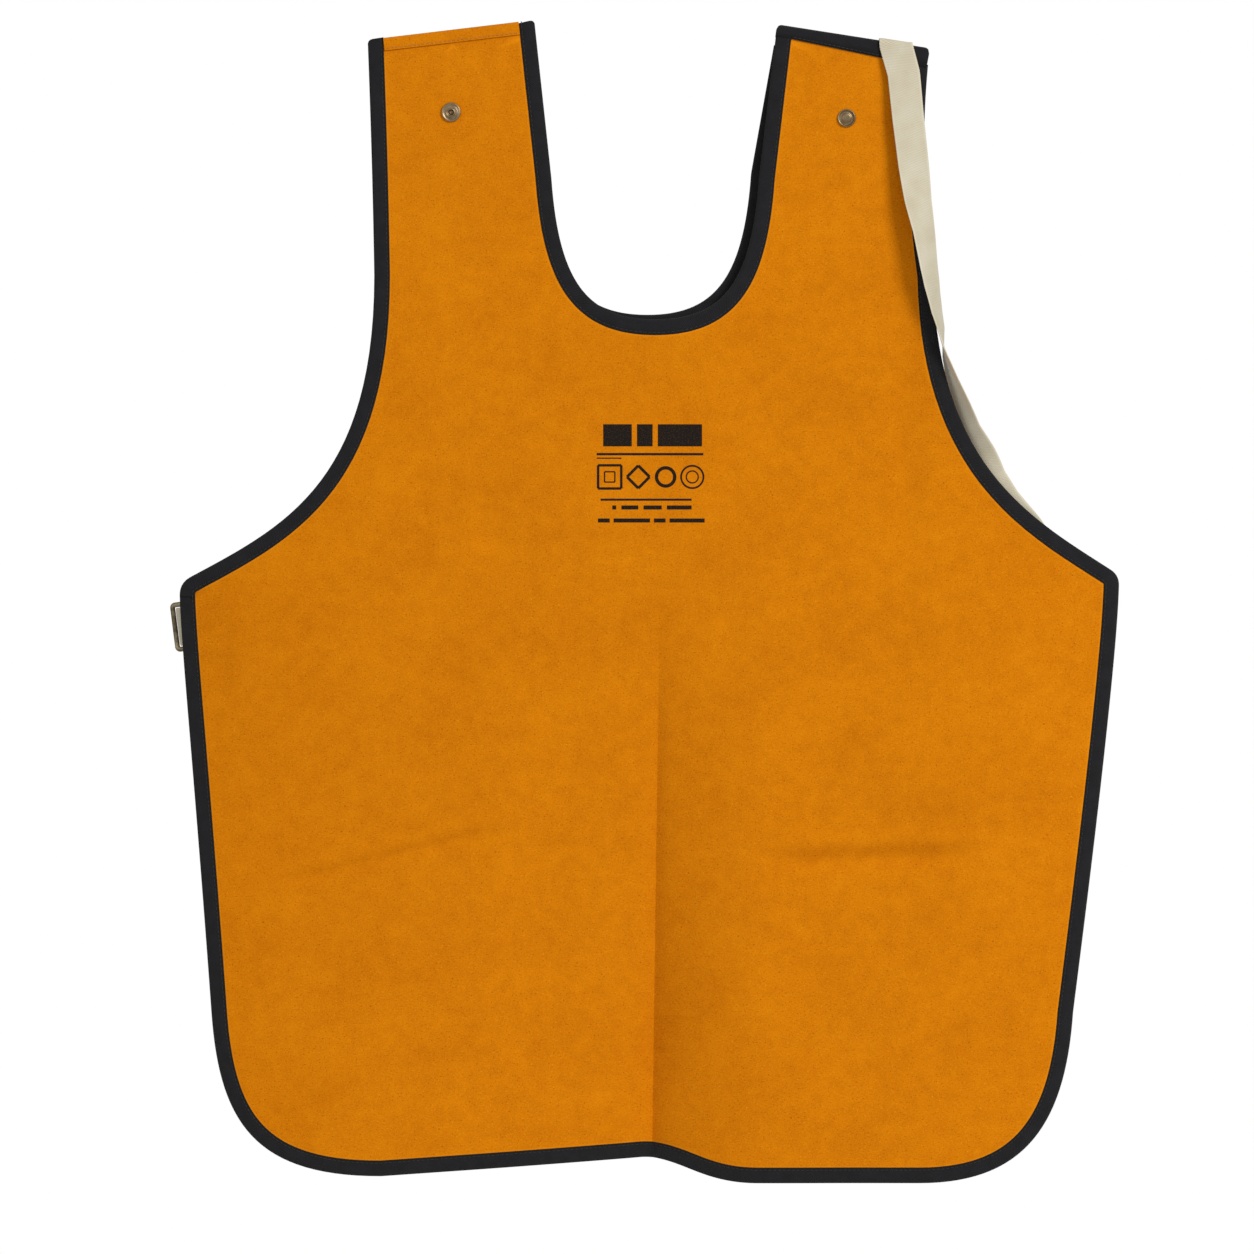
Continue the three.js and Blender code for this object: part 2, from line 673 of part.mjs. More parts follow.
function roundedRect(width, height, radius, x = 0) {
  const shape = new THREE.Shape();
  const [w, h] = [width / 2, height / 2];
  shape.moveTo(x - w + radius, -h);
  shape.lineTo(x + w - radius, -h);
  shape.absarc(x + w - radius, -h + radius, radius, -Math.PI / 2, 0);
  shape.lineTo(x + w, h - radius);
  shape.absarc(x + w - radius, h - radius, radius, 0, Math.PI / 2);
  shape.lineTo(x - w + radius, h);
  shape.absarc(x - w + radius, h - radius, radius, Math.PI / 2, Math.PI);
  shape.lineTo(x - w, -h + radius);
  shape.absarc(x - w + radius, -h + radius, radius, Math.PI, 1.5 * Math.PI);
  return shape;
}

const ALONG_BAR = [0, 0, 1];
const LAYER_PITCH = WEBBING + GAP;
const RETURN_Y = -BUCKLE_THICKNESS / 2 - GAP - WEBBING / 2;
const TAB_Y = RETURN_Y - LAYER_PITCH;

// The webbing loop: out from the hip, round the middle bar and back through the inner slot.
function hipTab() {
  const bend = Math.hypot(BUCKLE_BAR, BUCKLE_THICKNESS) / 2 + GAP + WEBBING / 2;
  const slotEnd = BUCKLE_WIDTH / 2 - BUCKLE_BAR;
  const loop = Array.from({ length: 9 }, (_, i) => {
    const angle = -Math.PI / 2 - (i * Math.PI) / 6;
    const reach = Math.cos(angle) < 0 ? bend + LOOP_SLACK : bend;
    return [reach * Math.cos(angle), bend * Math.sin(angle), 0, ALONG_BAR];
  });
  return ribbon([
    [TAB_HINGE - GAP, TAB_Y, 0, ALONG_BAR],
    [slotEnd - 1, TAB_Y, 0, ALONG_BAR],
    [1.7, TAB_Y + 0.5, 0, ALONG_BAR],
    ...loop,
    [slotEnd - 2, RETURN_Y + 0.1, 0, ALONG_BAR],
    [slotEnd + 1, RETURN_Y, 0, ALONG_BAR],
    [TAB_HINGE - GAP, RETURN_Y, 0, ALONG_BAR],
  ]);
}

// The same webbing where it lies flat behind the hip and is sewn through the hide.
function hipTabAnchor() {
  return ribbon([
    [TAB_HINGE, TAB_Y, 0, ALONG_BAR],
    [TAB_HINGE + 8, TAB_Y, 0, ALONG_BAR],
    [TAB_REACH, TAB_Y, 0, ALONG_BAR],
  ]);
}

function addBuckle() {
  const hip = hipCorner(DRAPE.left);
  const z = hip.y - BUCKLE_DROP;
  const edgeX = hip.x + BUCKLE_TILT * (BUCKLE_DROP - BUCKLE_LENGTH / 2) / 2;
  const slope = (hang(edgeX + 40, z) - hang(edgeX, z)) / 40;
  const seat = new THREE.Group();
  const inset = BUCKLE_WIDTH / 2 - BUCKLE_OVERHANG;
  seat.position.set(
    edgeX + inset, hang(edgeX + inset, z) + BINDING_FACE + GAP + WEBBING / 2 - TAB_Y, z);
  seat.rotation.z = Math.atan(slope);
  apron.add(seat);
  const parts = [
    addPart("buckle_frame", buckleFrame(), "brass"),
    addPart("hip_tab", hipTab(), "webbing"),
    addPart("hip_tab_anchor", hipTabAnchor(), "webbing"),
  ];
  parts.forEach((mesh) => {
    mesh.rotation.y = -BUCKLE_TILT;
    seat.add(mesh);
  });
}

addFrontPanel();
addFrontBindings();
addShoulderSeam("left_shoulder_fold", DRAPE.left, LEFT_SEAM_LEG, FOLD_HIDE, "leather", {
  armhole: armholeLine(DRAPE.left), neck,
});
addShoulderSeam("right_shoulder_tape", DRAPE.right, RIGHT_SEAM_LEG, TAPE, "tape");
addSnaps();
addYoke();
addWaistBelt();
addBeltTail();
addBuckle();

export default apron;
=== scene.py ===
import math

import bpy
import numpy as np
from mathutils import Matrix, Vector, geometry, kdtree


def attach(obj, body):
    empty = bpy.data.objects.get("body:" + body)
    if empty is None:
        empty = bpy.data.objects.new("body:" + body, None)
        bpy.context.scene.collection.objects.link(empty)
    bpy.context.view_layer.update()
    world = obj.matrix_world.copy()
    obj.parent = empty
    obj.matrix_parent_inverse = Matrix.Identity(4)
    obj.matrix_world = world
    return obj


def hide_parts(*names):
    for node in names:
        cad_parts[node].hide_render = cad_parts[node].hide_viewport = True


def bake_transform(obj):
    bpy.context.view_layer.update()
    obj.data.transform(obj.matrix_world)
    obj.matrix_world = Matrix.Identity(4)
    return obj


# Looks for the welding apron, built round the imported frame. Shapes are worked out in
# millimetres, in the frame's own axes, and scaled to metres when a mesh is made.

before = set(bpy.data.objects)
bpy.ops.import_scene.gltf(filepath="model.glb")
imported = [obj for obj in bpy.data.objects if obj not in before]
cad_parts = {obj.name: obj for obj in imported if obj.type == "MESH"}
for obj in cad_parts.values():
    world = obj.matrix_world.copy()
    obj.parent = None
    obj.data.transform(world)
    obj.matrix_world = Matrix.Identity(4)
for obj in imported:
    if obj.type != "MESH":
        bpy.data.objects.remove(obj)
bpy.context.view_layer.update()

MM = 0.001

# Sizes shared with the CAD source
HIP_HALF_WIDTH = 362
HIP_DROP = 430
APRON_LENGTH = 892
SKIRT_TAPER = 25
SKIRT_CORNER = 130
STRAP_HALF_SPAN = 216
SHOULDER_SLOPE = 18
NECK_HALF_WIDTH = 93
NECK_DEPTH = 230
NECK_TAPER = 12
NECK_BOWL = 110
ARMHOLE_START = 195
STRAP_TAPER = 5
LEFT = {"sign": -1, "shift": 0, "drop": 0, "pinch": 1}
RIGHT = {"sign": 1, "shift": 4, "drop": 3, "pinch": 11}
CREASE_X = 2
CREASE_TOP = 330
CREASE_DEPTH = 30
CREASE_LEFT_RUN = 240
CREASE_RIGHT_RUN = 80
HEM_RISE = 18
SIDE_FALL_BACK = 20
SIDE_FALL_START = 200
LEATHER = 2.0
TAPE = 0.8
WEBBING = 1.5
WEBBING_WIDTH = 25.4
BINDING_WIDTH = 11.0
GAP = 0.3
YOKE_Y = 10.0
YOKE_INSET = 6
YOKE_BAND = 92
YOKE_CORNER = 36
YOKE_TOP_DROP = 2
LEFT_SEAM_LEG = 8.5
RIGHT_SEAM_LEGS = (8.0, 14.0)
SNAP_DROP = 62
BELT_TAIL_LENGTH = 440
BUCKLE_LENGTH = 38.4
BUCKLE_WIDTH = 20.0
BUCKLE_BAR = 3.0
BUCKLE_THICKNESS = 2.4
LOOP_SLACK = 2.2
SLEEVE = LEATHER / 2 + GAP
BINDING_FACE = SLEEVE + TAPE


# --- Camera, light and floor ---------------------------------------------------------------

def add_camera():
    distance, width = 6.0, 0.9646
    data = bpy.data.cameras.new("camera")
    data.sensor_width = 36.0
    data.lens = 36.0 * distance / width
    data.clip_end = 50
    camera = bpy.data.objects.new("camera", data)
    camera.location = (-0.0177, -distance, -0.4654)
    camera.rotation_euler = (math.pi / 2, 0, 0)
    bpy.context.scene.collection.objects.link(camera)
    bpy.context.scene.camera = camera


def add_area_light(name, location, target, size, power, colour=(1, 1, 1)):
    data = bpy.data.lights.new(name, "AREA")
    data.size = size
    data.energy = power
    data.color = colour
    light = bpy.data.objects.new(name, data)
    light.location = location
    aim = Vector(target) - Vector(location)
    light.rotation_euler = aim.to_track_quat("-Z", "Y").to_euler()
    bpy.context.scene.collection.objects.link(light)


def add_world():
    world = bpy.data.worlds.new("studio")
    world.use_nodes = True
    nodes, links = world.node_tree.nodes, world.node_tree.links
    nodes.clear()
    out = nodes.new("ShaderNodeOutputWorld")
    seen = nodes.new("ShaderNodeBackground")
    seen.inputs["Strength"].default_value = 1.0
    lighting = nodes.new("ShaderNodeBackground")
    lighting.inputs["Strength"].default_value = 0.5
    seen.inputs["Color"].default_value = lighting.inputs["Color"].default_value = (1, 1, 1, 1)
    path = nodes.new("ShaderNodeLightPath")
    mix = nodes.new("ShaderNodeMixShader")
    links.new(path.outputs["Is Camera Ray"], mix.inputs[0])
    links.new(lighting.outputs[0], mix.inputs[1])
    links.new(seen.outputs[0], mix.inputs[2])
    links.new(mix.outputs[0], out.inputs[0])
    bpy.context.scene.world = world


# --- Node materials ------------------------------------------------------------------------

def linear(red, green, blue):
    def one(value):
        value /= 255
        return value / 12.92 if value <= 0.04045 else ((value + 0.055) / 1.055) ** 2.4
    return (one(red), one(green), one(blue), 1.0)


class Shader:
    """A material's node tree, with short names for the nodes used here."""

    def __init__(self, name, coordinates="UV"):
        self.material = bpy.data.materials.new(name)
        self.material.use_nodes = True
        self.tree = self.material.node_tree
        self.bsdf = self.tree.nodes["Principled BSDF"]
        self.coordinates = self.node("ShaderNodeTexCoord").outputs[coordinates]

    def node(self, kind, **values):
        made = self.tree.nodes.new(kind)
        for key, value in values.items():
            setattr(made, key, value)
        return made

    def link(self, source, target):
        self.tree.links.new(source, target)

    def set(self, **values):
        for key, value in values.items():
            self.bsdf.inputs[key.replace("_", " ")].default_value = value

    def stretched(self, scale, turn=0.0):
        made = self.node("ShaderNodeMapping")
        made.inputs["Scale"].default_value = scale
        made.inputs["Rotation"].default_value = (0, 0, turn)
        self.link(self.coordinates, made.inputs["Vector"])
        return made.outputs[0]

    def noise(self, scale, detail=3.0, rough=0.5, vector=None):
        made = self.node("ShaderNodeTexNoise")
        made.inputs["Scale"].default_value = scale
        made.inputs["Detail"].default_value = detail
        made.inputs["Roughness"].default_value = rough
        self.link(vector or self.coordinates, made.inputs["Vector"])
        return made.outputs["Fac"]

    def wave(self, scale, vector=None, direction="X"):
        made = self.node("ShaderNodeTexWave", bands_direction=direction)
        made.inputs["Scale"].default_value = scale
        self.link(vector or self.coordinates, made.inputs["Vector"])
        return made.outputs["Fac"]

    def maths(self, operation, first, second):
        made = self.node("ShaderNodeMath", operation=operation)
        for socket, value in zip(made.inputs, (first, second)):
            if isinstance(value, (int, float)):
                socket.default_value = value
            else:
                self.link(value, socket)
        return made.outputs[0]

    def ramp(self, factor, *stops):
        made = self.node("ShaderNodeValToRGB")
        elements = made.color_ramp.elements
        while len(elements) < len(stops):
            elements.new(0.5)
        for element, (position, colour) in zip(elements, stops):
            element.position, element.color = position, colour
        self.link(factor, made.inputs[0])
        return made.outputs[0]

    def mixed(self, factor, first, second, blend="MIX"):
        made = self.node("ShaderNodeMix", data_type="RGBA", blend_type=blend)
        for socket, value in zip((made.inputs[0], made.inputs[6], made.inputs[7]),
                                 (factor, first, second)):
            if isinstance(value, (int, float, tuple)):
                socket.default_value = value
            else:
                self.link(value, socket)
        return made.outputs[2]

    def attribute(self, name):
        return self.node("ShaderNodeAttribute", attribute_name=name).outputs["Fac"]

    def colour(self, source):
        self.link(source, self.bsdf.inputs["Base Color"])

    def bump(self, height, distance, strength=1.0):
        made = self.node("ShaderNodeBump")
        made.inputs["Distance"].default_value = distance
        made.inputs["Strength"].default_value = strength
        self.link(height, made.inputs["Height"])
        self.link(made.outputs[0], self.bsdf.inputs["Normal"])


def suede(name, dark, middle, light, nap=1.0):
    """Split hide: faint clouds and patches, a brushed nap with dark pits and pale tufts, and a
    painted highlight: a brighter line beside the tape, where the vertex attribute "edge" says."""
    s = Shader(name)
    s.set(Roughness=0.97, Specular_IOR_Level=0.05, Sheen_Weight=0.10, Sheen_Roughness=0.55,
          Sheen_Tint=linear(255, 170, 40))
    clouds = s.noise(16, 4, 0.6)
    patches = s.noise(85, 4, 0.65)
    fibres = s.noise(1.0, 5, 0.7, s.stretched((380, 900, 1), 0.5))
    grain = s.noise(1100, 3, 0.65)
    tone = s.maths("ADD", s.maths("MULTIPLY", clouds, 0.20), s.maths("MULTIPLY", patches, 0.22))
    tone = s.maths("ADD", tone, s.maths("MULTIPLY", fibres, 0.24))
    tone = s.maths("ADD", tone, s.maths("MULTIPLY", grain, 0.34))
    base = s.ramp(tone, (0.38, dark), (0.5, middle), (0.62, light))
    pits = s.ramp(s.noise(760, 2, 0.6), (0.30, linear(150, 118, 90)), (0.40, (1, 1, 1, 1)))
    speckled = s.mixed(0.6 * nap, base, pits, "MULTIPLY")
    tufts = s.noise(1.0, 2, 0.6, s.stretched((640, 820, 1), 1.9))
    fuzz = s.ramp(tufts, (0.60, (0, 0, 0, 1)), (0.70, (1, 1, 1, 1)))
    speckled = s.mixed(s.maths("MULTIPLY", fuzz, 0.45), speckled, linear(236, 156, 36))
    # Painted highlight: the hide turns bright orange beside the tape, where "edge" says.
    s.colour(s.mixed(s.attribute("edge"), speckled, linear(240, 146, 14)))
    height = s.maths("ADD", s.maths("MULTIPLY", fibres, 0.5), s.maths("MULTIPLY", grain, 0.5))
    s.bump(s.maths("ADD", height, s.maths("MULTIPLY", patches, 0.6)), 0.0006 * nap, 0.5)
    return s.material


def twill_tape():
    """Black bias tape: a fine diagonal twill, with painted shade darkening it where the vertex
    attribute "rim" says.
    """
    s = Shader("binding_twill")
    s.set(Roughness=0.86, Specular_IOR_Level=0.22, Sheen_Weight=0.08, Sheen_Roughness=0.5)
    diagonal = s.wave(1.0, s.stretched((260, 260, 1), 0.75))
    cross = s.wave(1.0, s.stretched((620, 620, 1), -0.6))
    wear = s.noise(90, 3, 0.6)
    weave = s.maths("ADD", s.maths("MULTIPLY", diagonal, 0.65), s.maths("MULTIPLY", cross, 0.35))
    tone = s.maths("ADD", s.maths("MULTIPLY", weave, 0.45), s.maths("MULTIPLY", wear, 0.55))
    cloth = s.ramp(tone, (0.25, linear(12, 12, 14)), (0.7, linear(30, 30, 33)))
    # Painted shade: the tape goes near black along its edges, where "rim" says.
    s.colour(s.mixed(s.attribute("rim"), cloth, linear(5, 5, 6)))
    s.bump(weave, 0.00035, 0.8)
    return s.material


def webbing_cloth():
    """Natural cotton webbing: pale raised yarns, painted shade in the gaps between them, and faint
    brown flecks.
    """
    s = Shader("cotton_webbing")
    s.set(Roughness=0.93, Specular_IOR_Level=0.2, Sheen_Weight=0.15, Sheen_Roughness=0.5)
    height = s.attribute("rib")
    fleck = s.noise(1.0, 2, 0.5, s.stretched((420, 1500, 1)))
    cloud = s.noise(45, 3, 0.5)
    # Painted shade: the yarns are coloured darker where the "rib" height is low, in the weave's
    # hollows.
    yarns = s.ramp(height, (0.0, linear(175, 167, 146)), (0.75, linear(211, 203, 181)))
    shade = s.ramp(cloud, (0.3, linear(242, 239, 232)), (0.65, (1, 1, 1, 1)))
    cloth = s.mixed(1.0, yarns, shade, "MULTIPLY")
    flecks = s.ramp(fleck, (0.68, (0, 0, 0, 1)), (0.74, (1, 1, 1, 1)))
    s.colour(s.mixed(s.maths("MULTIPLY", flecks, 0.25), cloth, linear(150, 122, 84)))
    s.bump(s.noise(1.0, 3, 0.6, s.stretched((900, 2600, 1))), 0.0002, 0.6)
    return s.material


def thread(name, dark, light):
    """Sewing thread with its twist showing as slanted bands."""
    s = Shader(name, "Object")
    s.set(Roughness=0.6, Specular_IOR_Level=0.35)
    twist = s.wave(1.0, s.stretched((900, 900, 900), 0.6), "DIAGONAL")
    s.colour(s.ramp(twist, (0.2, dark), (0.8, light)))
    s.bump(twist, 0.0001, 0.5)
    return s.material


def old_brass(name, hollow, face, worn, grip):
    """Antique plated brass: brown tarnish with paler worn patches and fine scratches."""
    s = Shader(name, "Object")
    s.set(Metallic=0.85)
    blotch = s.noise(140, 3, 0.5)
    scratch = s.noise(1.0, 3, 0.6, s.stretched((500, 500, 6000), 0.4))
    tone = s.maths("ADD", s.maths("MULTIPLY", blotch, 0.7), s.maths("MULTIPLY", scratch, 0.3))
    s.colour(s.ramp(tone, (0.35, hollow), (0.5, face), (0.66, worn)))
    rough = s.node("ShaderNodeMapRange")
    rough.inputs["To Min"].default_value, rough.inputs["To Max"].default_value = grip
    s.link(blotch, rough.inputs[0])
    s.link(rough.outputs[0], s.bsdf.inputs["Roughness"])
    s.bump(tone, 0.00003, 0.4)
    return s.material


def printed_ink():
    """Screen ink sunk into the nap, so it breaks up at the scale of the fibres."""
    s = Shader("print_ink")
    s.set(Roughness=0.9, Specular_IOR_Level=0.15)
    gaps = s.noise(900, 3, 0.6)
    s.colour(s.ramp(gaps, (0.50, linear(22, 20, 18)), (0.68, linear(64, 40, 16))))
    s.bump(gaps, 0.0002, 0.6)
    return s.material


def plain_floor():
    s = Shader("pale_floor", "Object")
    s.set(Roughness=0.9)
    s.colour(s.ramp(s.noise(3, 2), (0.3, linear(236, 236, 235)), (0.7, linear(240, 240, 239))))
    return s.material


HIDE = suede("split_hide", linear(188, 103, 4), linear(205, 118, 5), linear(219, 131, 8))
FLESH = suede(
    "split_hide_back", linear(186, 112, 28), linear(206, 133, 42), linear(222, 153, 60), 1.5)
TWILL = twill_tape()
CLOTH = webbing_cloth()
BLACK_THREAD = thread("black_thread", linear(16, 16, 18), linear(52, 52, 55))
TAN_THREAD = thread("tan_thread", linear(150, 92, 20), linear(206, 140, 48))
PALE_THREAD = thread("pale_thread", linear(186, 174, 150), linear(232, 224, 205))
SNAP_BRASS = old_brass(
    "snap_brass", linear(108, 90, 62), linear(138, 118, 88), linear(168, 148, 116), (0.3, 0.42))
BUCKLE_BRASS = old_brass(
    "buckle_brass", linear(74, 65, 48), linear(118, 107, 84), linear(176, 163, 132), (0.28, 0.45))
INK = printed_ink()


# --- Mesh building -------------------------------------------------------------------------

def volume_of(points, faces):
    total = 0.0
    for face in faces:
        ring = points[list(face)]
        for k in range(1, len(face) - 1):
            total += float(np.dot(ring[0], np.cross(ring[k], ring[k + 1])))
    return total / 6


def make_piece(name, points, faces, materials, uvs=None, indices=None, attributes=None, sharp=40):
    """A mesh object from points in millimetres. uvs holds one pair for each corner of each face."""
    mesh = bpy.data.meshes.new(name)
    mesh.from_pydata((np.asarray(points) * MM).tolist(), [], [list(map(int, f)) for f in faces])
    for material in materials:
        mesh.materials.append(material)
    if indices is not None:
        mesh.polygons.foreach_set("material_index", np.asarray(indices, np.int32))
    if uvs is not None:
        layer = mesh.uv_layers.new(name="UVMap")
        layer.data.foreach_set("uv", (np.asarray(uvs) * MM).astype(np.float32).ravel())
    for key, values in (attributes or {}).items():
        mesh.attributes.new(key, "FLOAT", "POINT").data.foreach_set(
            "value", np.asarray(values, np.float32))
    mesh.polygons.foreach_set("use_smooth", [True] * len(mesh.polygons))
    mesh.update()
    mesh.set_sharp_from_angle(angle=math.radians(sharp))
    piece = bpy.data.objects.new(name, mesh)
    bpy.context.scene.collection.objects.link(piece)
    return piece


def grid_faces(rings, around, closed):
    """Quads between rings of points, as an array of indices."""
    columns = around if closed else around - 1
    i, j = np.meshgrid(np.arange(rings - 1), np.arange(columns), indexing="ij")
    k = (j + 1) % around
    near, far = i * around, (i + 1) * around
    quads = np.stack([near + j, far + j, far + k, near + k], -1)
    return quads.reshape(-1, 4), i.ravel(), j.ravel()


def loft(name, rings, along, across, material, attributes=None, sharp=40):
    """Closed skin over rings of points, capped at both ends. along and across become the UVs;
    across has one value more than a ring has points, for where the skin meets itself."""
    rings = np.asarray(rings, float)
    count, around = rings.shape[:2]
    points = rings.reshape(-1, 3)
    quads, i, j = grid_faces(count, around, True)
    along, across = np.asarray(along, float), np.asarray(across, float)
    uv = np.stack([
        np.stack([along[i], across[j]], -1), np.stack([along[i + 1], across[j]], -1),
        np.stack([along[i + 1], across[j + 1]], -1), np.stack([along[i], across[j + 1]], -1)], 1)
    faces = quads.tolist()
    uvs = uv.reshape(-1, 2).tolist()
    last = (count - 1) * around
    near_cap, far_cap = list(range(around)), [last + k for k in range(around)][::-1]
    for cap, u in ((near_cap, along[0]), (far_cap, along[-1])):
        faces.append(cap)
        uvs += [[u, across[k % around]] for k in cap]
    if volume_of(points, faces) < 0:
        starts = np.cumsum([0] + [len(f) for f in faces])
        uvs = [uvs[k] for s, e in zip(starts, starts[1:]) for k in range(e - 1, s - 1, -1)]
        faces = [f[::-1] for f in faces]
    return make_piece(name, points, faces, [material], uvs, attributes=attributes, sharp=sharp)


def lengths_along(line):
    steps = np.linalg.norm(np.diff(line, axis=0), axis=1)
    return np.concatenate([[0], np.cumsum(steps)])


def spaced(line, step):
    """The same line with evenly spaced points."""
    line = np.asarray(line, float)
    at = lengths_along(line)
    count = max(2, int(round(at[-1] / step)) + 1)
    wanted = np.linspace(0, at[-1], count)
    return np.stack([np.interp(wanted, at, line[:, k]) for k in range(line.shape[1])], 1)


def stretch_of(line, start, end):
    """The part of a line between two lengths along it; a negative end counts from its end."""
    at = lengths_along(line)
    end = at[-1] + end if end <= 0 else end
    inside = line[(at > start + 1e-6) & (at < end - 1e-6)]
    columns = range(line.shape[1])
    first, last = ([np.interp(s, at, line[:, k]) for k in columns] for s in (start, end))
    return np.vstack([first, inside, last])


# --- The lie of the front hide -------------------------------------------------------------

def smooth(t):
    t = np.clip(t, 0, 1)
    return t * t * (3 - 2 * t)


def crease_at(z):
    """The front crease leans a little to the right as it rises."""
    return CREASE_X + 0.0135 * np.maximum(0, z + 850)


def hang(x, z):
    """How far the hide stands behind the shoulder plane, as in the CAD source."""
    middle = crease_at(z)
    run = np.where(x < middle, CREASE_LEFT_RUN, CREASE_RIGHT_RUN)
    away = np.hypot(x - middle, 1) - 1
    share = (1 - np.minimum(1, away / run)) ** 1.6
    fall = smooth((-z - CREASE_TOP) / (APRON_LENGTH - CREASE_TOP))
    outward = np.maximum(0, np.abs(x) - SIDE_FALL_START) / (HIP_HALF_WIDTH - SIDE_FALL_START)
    below = smooth((-z - ARMHOLE_START) / (HIP_DROP - ARMHOLE_START))
    return CREASE_DEPTH * fall * share + SIDE_FALL_BACK * below * outward ** 2


def mound(x, z, middle, size, turn=0.0):
    """A soft round or oval rise, 1 at its middle."""
    dx, dz = x - middle[0], z - middle[1]
    c, s = math.cos(turn), math.sin(turn)
    return np.exp(-((dx * c + dz * s) / size[0]) ** 2 - ((dz * c - dx * s) / size[1]) ** 2)


def packing_crease(x, z, start, end, width, depth):
    """A fold line left by packing: a shallow groove with a lip above it."""
    a, b = np.array(start, float), np.array(end, float)
    d = (b - a) / np.linalg.norm(b - a)
    t = ((x - a[0]) * d[0] + (z - a[1]) * d[1]) / np.linalg.norm(b - a)
    off = (z - a[1]) * d[0] - (x - a[0]) * d[1]
    fade = smooth(t / 0.25) * smooth((1 - t) / 0.25)
    groove = np.exp(-(off / width) ** 2)
    lip = 0.7 * np.exp(-((off - 1.8 * width) / width) ** 2)
    return depth * fade * (groove - lip)


def settled(x, z):
    """Where the hide lies flat because a snap, a seam, the belt or the buckle holds it."""
    calm = smooth((-z - 60) / 60)
    calm = calm * (1 - mound(x, z, (152, -74), (28, 28))) * (1 - mound(x, z, (-153, -70), (28, 28)))
    calm = calm * (1 - 0.85 * smooth((x - 190) / 30) * smooth((z + 500) / 40))
    return calm * (1 - 0.9 * mound(x, z, (-345, -465), (55, 55)))


def ripple(x, z):
    """Slow waves, dents, packing creases and the sharp bottom of the front crease."""
    skirt = smooth((-z - 380) / 260)
    waves = 2.2 * skirt * np.sin((x + 0.08 * z + 30) / 58) * smooth((np.abs(x) - 60) / 100)
    waves = waves + 1.3 * np.sin(x / 83 + z / 190 + 1.0) * smooth((-z - 120) / 200)
    waves = waves + 0.5 * np.sin(x / 31 - z / 67) + 0.4 * np.sin(z / 41 + x / 59 + 2)
    waves = waves - 3.0 * mound(x, z, (2, -236), (95, 34))
    waves = waves - 2.4 * mound(x, z, (112, -845), (34, 40))
    waves = waves + 1.8 * mound(x, z, (-119, -398), (16, 12))
    waves = waves + 1.8 * mound(x, z, (-146, -510), (14, 12))
    waves = waves + 3.0 * mound(x, z, (205, -300), (24, 90))
    waves = waves + 1.2 * mound(x, z, (60, -470), (20, 60), 0.3)
    waves = waves + packing_crease(x, z, (-300, -668), (-100, -618), 5, 2.2)
    waves = waves + packing_crease(x, z, (80, -648), (262, -640), 8, 3.4)
    across = x - crease_at(z)
    sharp = np.exp(-np.abs(across) / np.where(across < 0, 14, 8))
    waves = waves + 4.2 * smooth((-z - 430) / 160) * sharp
    waves = waves + packing_crease(x, z, (-210, -330), (-60, -318), 9, 0.7)
    return waves * settled(x, z)


def lie(x, z):
    return hang(x, z) + ripple(x, z)


def yoke_lie(x, z):
    return YOKE_Y + 0.35 * np.sin(x / 47 + z / 39) * smooth((-z - 60) / 80) + 0 * x


# --- Outlines, as in the CAD source --------------------------------------------------------

def bezier(*controls, steps=30):
    t = np.linspace(0, 1, steps + 1)[:, None]
    n = len(controls) - 1
    return sum(math.comb(n, k) * t ** k * (1 - t) ** (n - k) * np.array(p, float)
               for k, p in enumerate(controls))


def chain(*lines):
    points = np.vstack([np.asarray(line, float).reshape(-1, 2) for line in lines])
    keep = np.concatenate([[True], np.linalg.norm(np.diff(points, axis=0), axis=1) > 0.01])
    return points[keep]


def shoulder_outer(s):
    x = STRAP_HALF_SPAN - 0.5 * s["shift"]
    return np.array([s["sign"] * x, 3 - SHOULDER_SLOPE - 2 * s["drop"]])


def shoulder_neck(s):
    return np.array([s["sign"] * (NECK_HALF_WIDTH - 3) + 2.2 * s["shift"], -s["drop"]])


def strap_foot(s):
    x = s["sign"] * (STRAP_HALF_SPAN - STRAP_TAPER) + 1.4 * s["shift"]
    return np.array([x, -ARMHOLE_START])


def hip_corner(s):
    x = HIP_HALF_WIDTH - 0.25 * s["shift"]
    return np.array([s["sign"] * x, -HIP_DROP - 2 + 2 * s["drop"]])


def skirt_foot(s):
    x = HIP_HALF_WIDTH - SKIRT_TAPER - 3 * s["shift"]
    return np.array([s["sign"] * x, -APRON_LENGTH + SKIRT_CORNER])


def hem_end(s):
    x = HIP_HALF_WIDTH - SKIRT_TAPER - SKIRT_CORNER
    return np.array([s["sign"] * x, -APRON_LENGTH + 5 - 1.7 * s["drop"]])


def neck_line(middle, depth, left, right):
    wall = NECK_HALF_WIDTH - NECK_TAPER
    top = -depth + NECK_BOWL
    low = top - 0.73 * NECK_BOWL
    return chain(
        left,
        bezier((middle - wall, top), (middle - 0.93 * wall, low),
               (middle - 0.66 * wall, -depth), (middle, -depth)),
        bezier((middle, -depth), (middle + 0.66 * wall, -depth),
               (middle + 0.93 * wall, low), (middle + wall, top)),
        right)


def armhole_line(s):
    top, foot, hip = shoulder_outer(s), strap_foot(s), hip_corner(s)
    reach, drop = hip - foot
    bend = (0.5 * (top[0] + foot[0]) - s["sign"] * s["pinch"], 0.5 * (top[1] + foot[1]))
    ease = 0.02 * s["shift"]
    return chain(
        bezier(top, bend, foot),
        bezier(foot, foot + (0.25 * ease * reach, (0.7 - 0.4 * ease) * drop),
               foot + ((0.5 + ease) * reach, 0.83 * drop), hip))


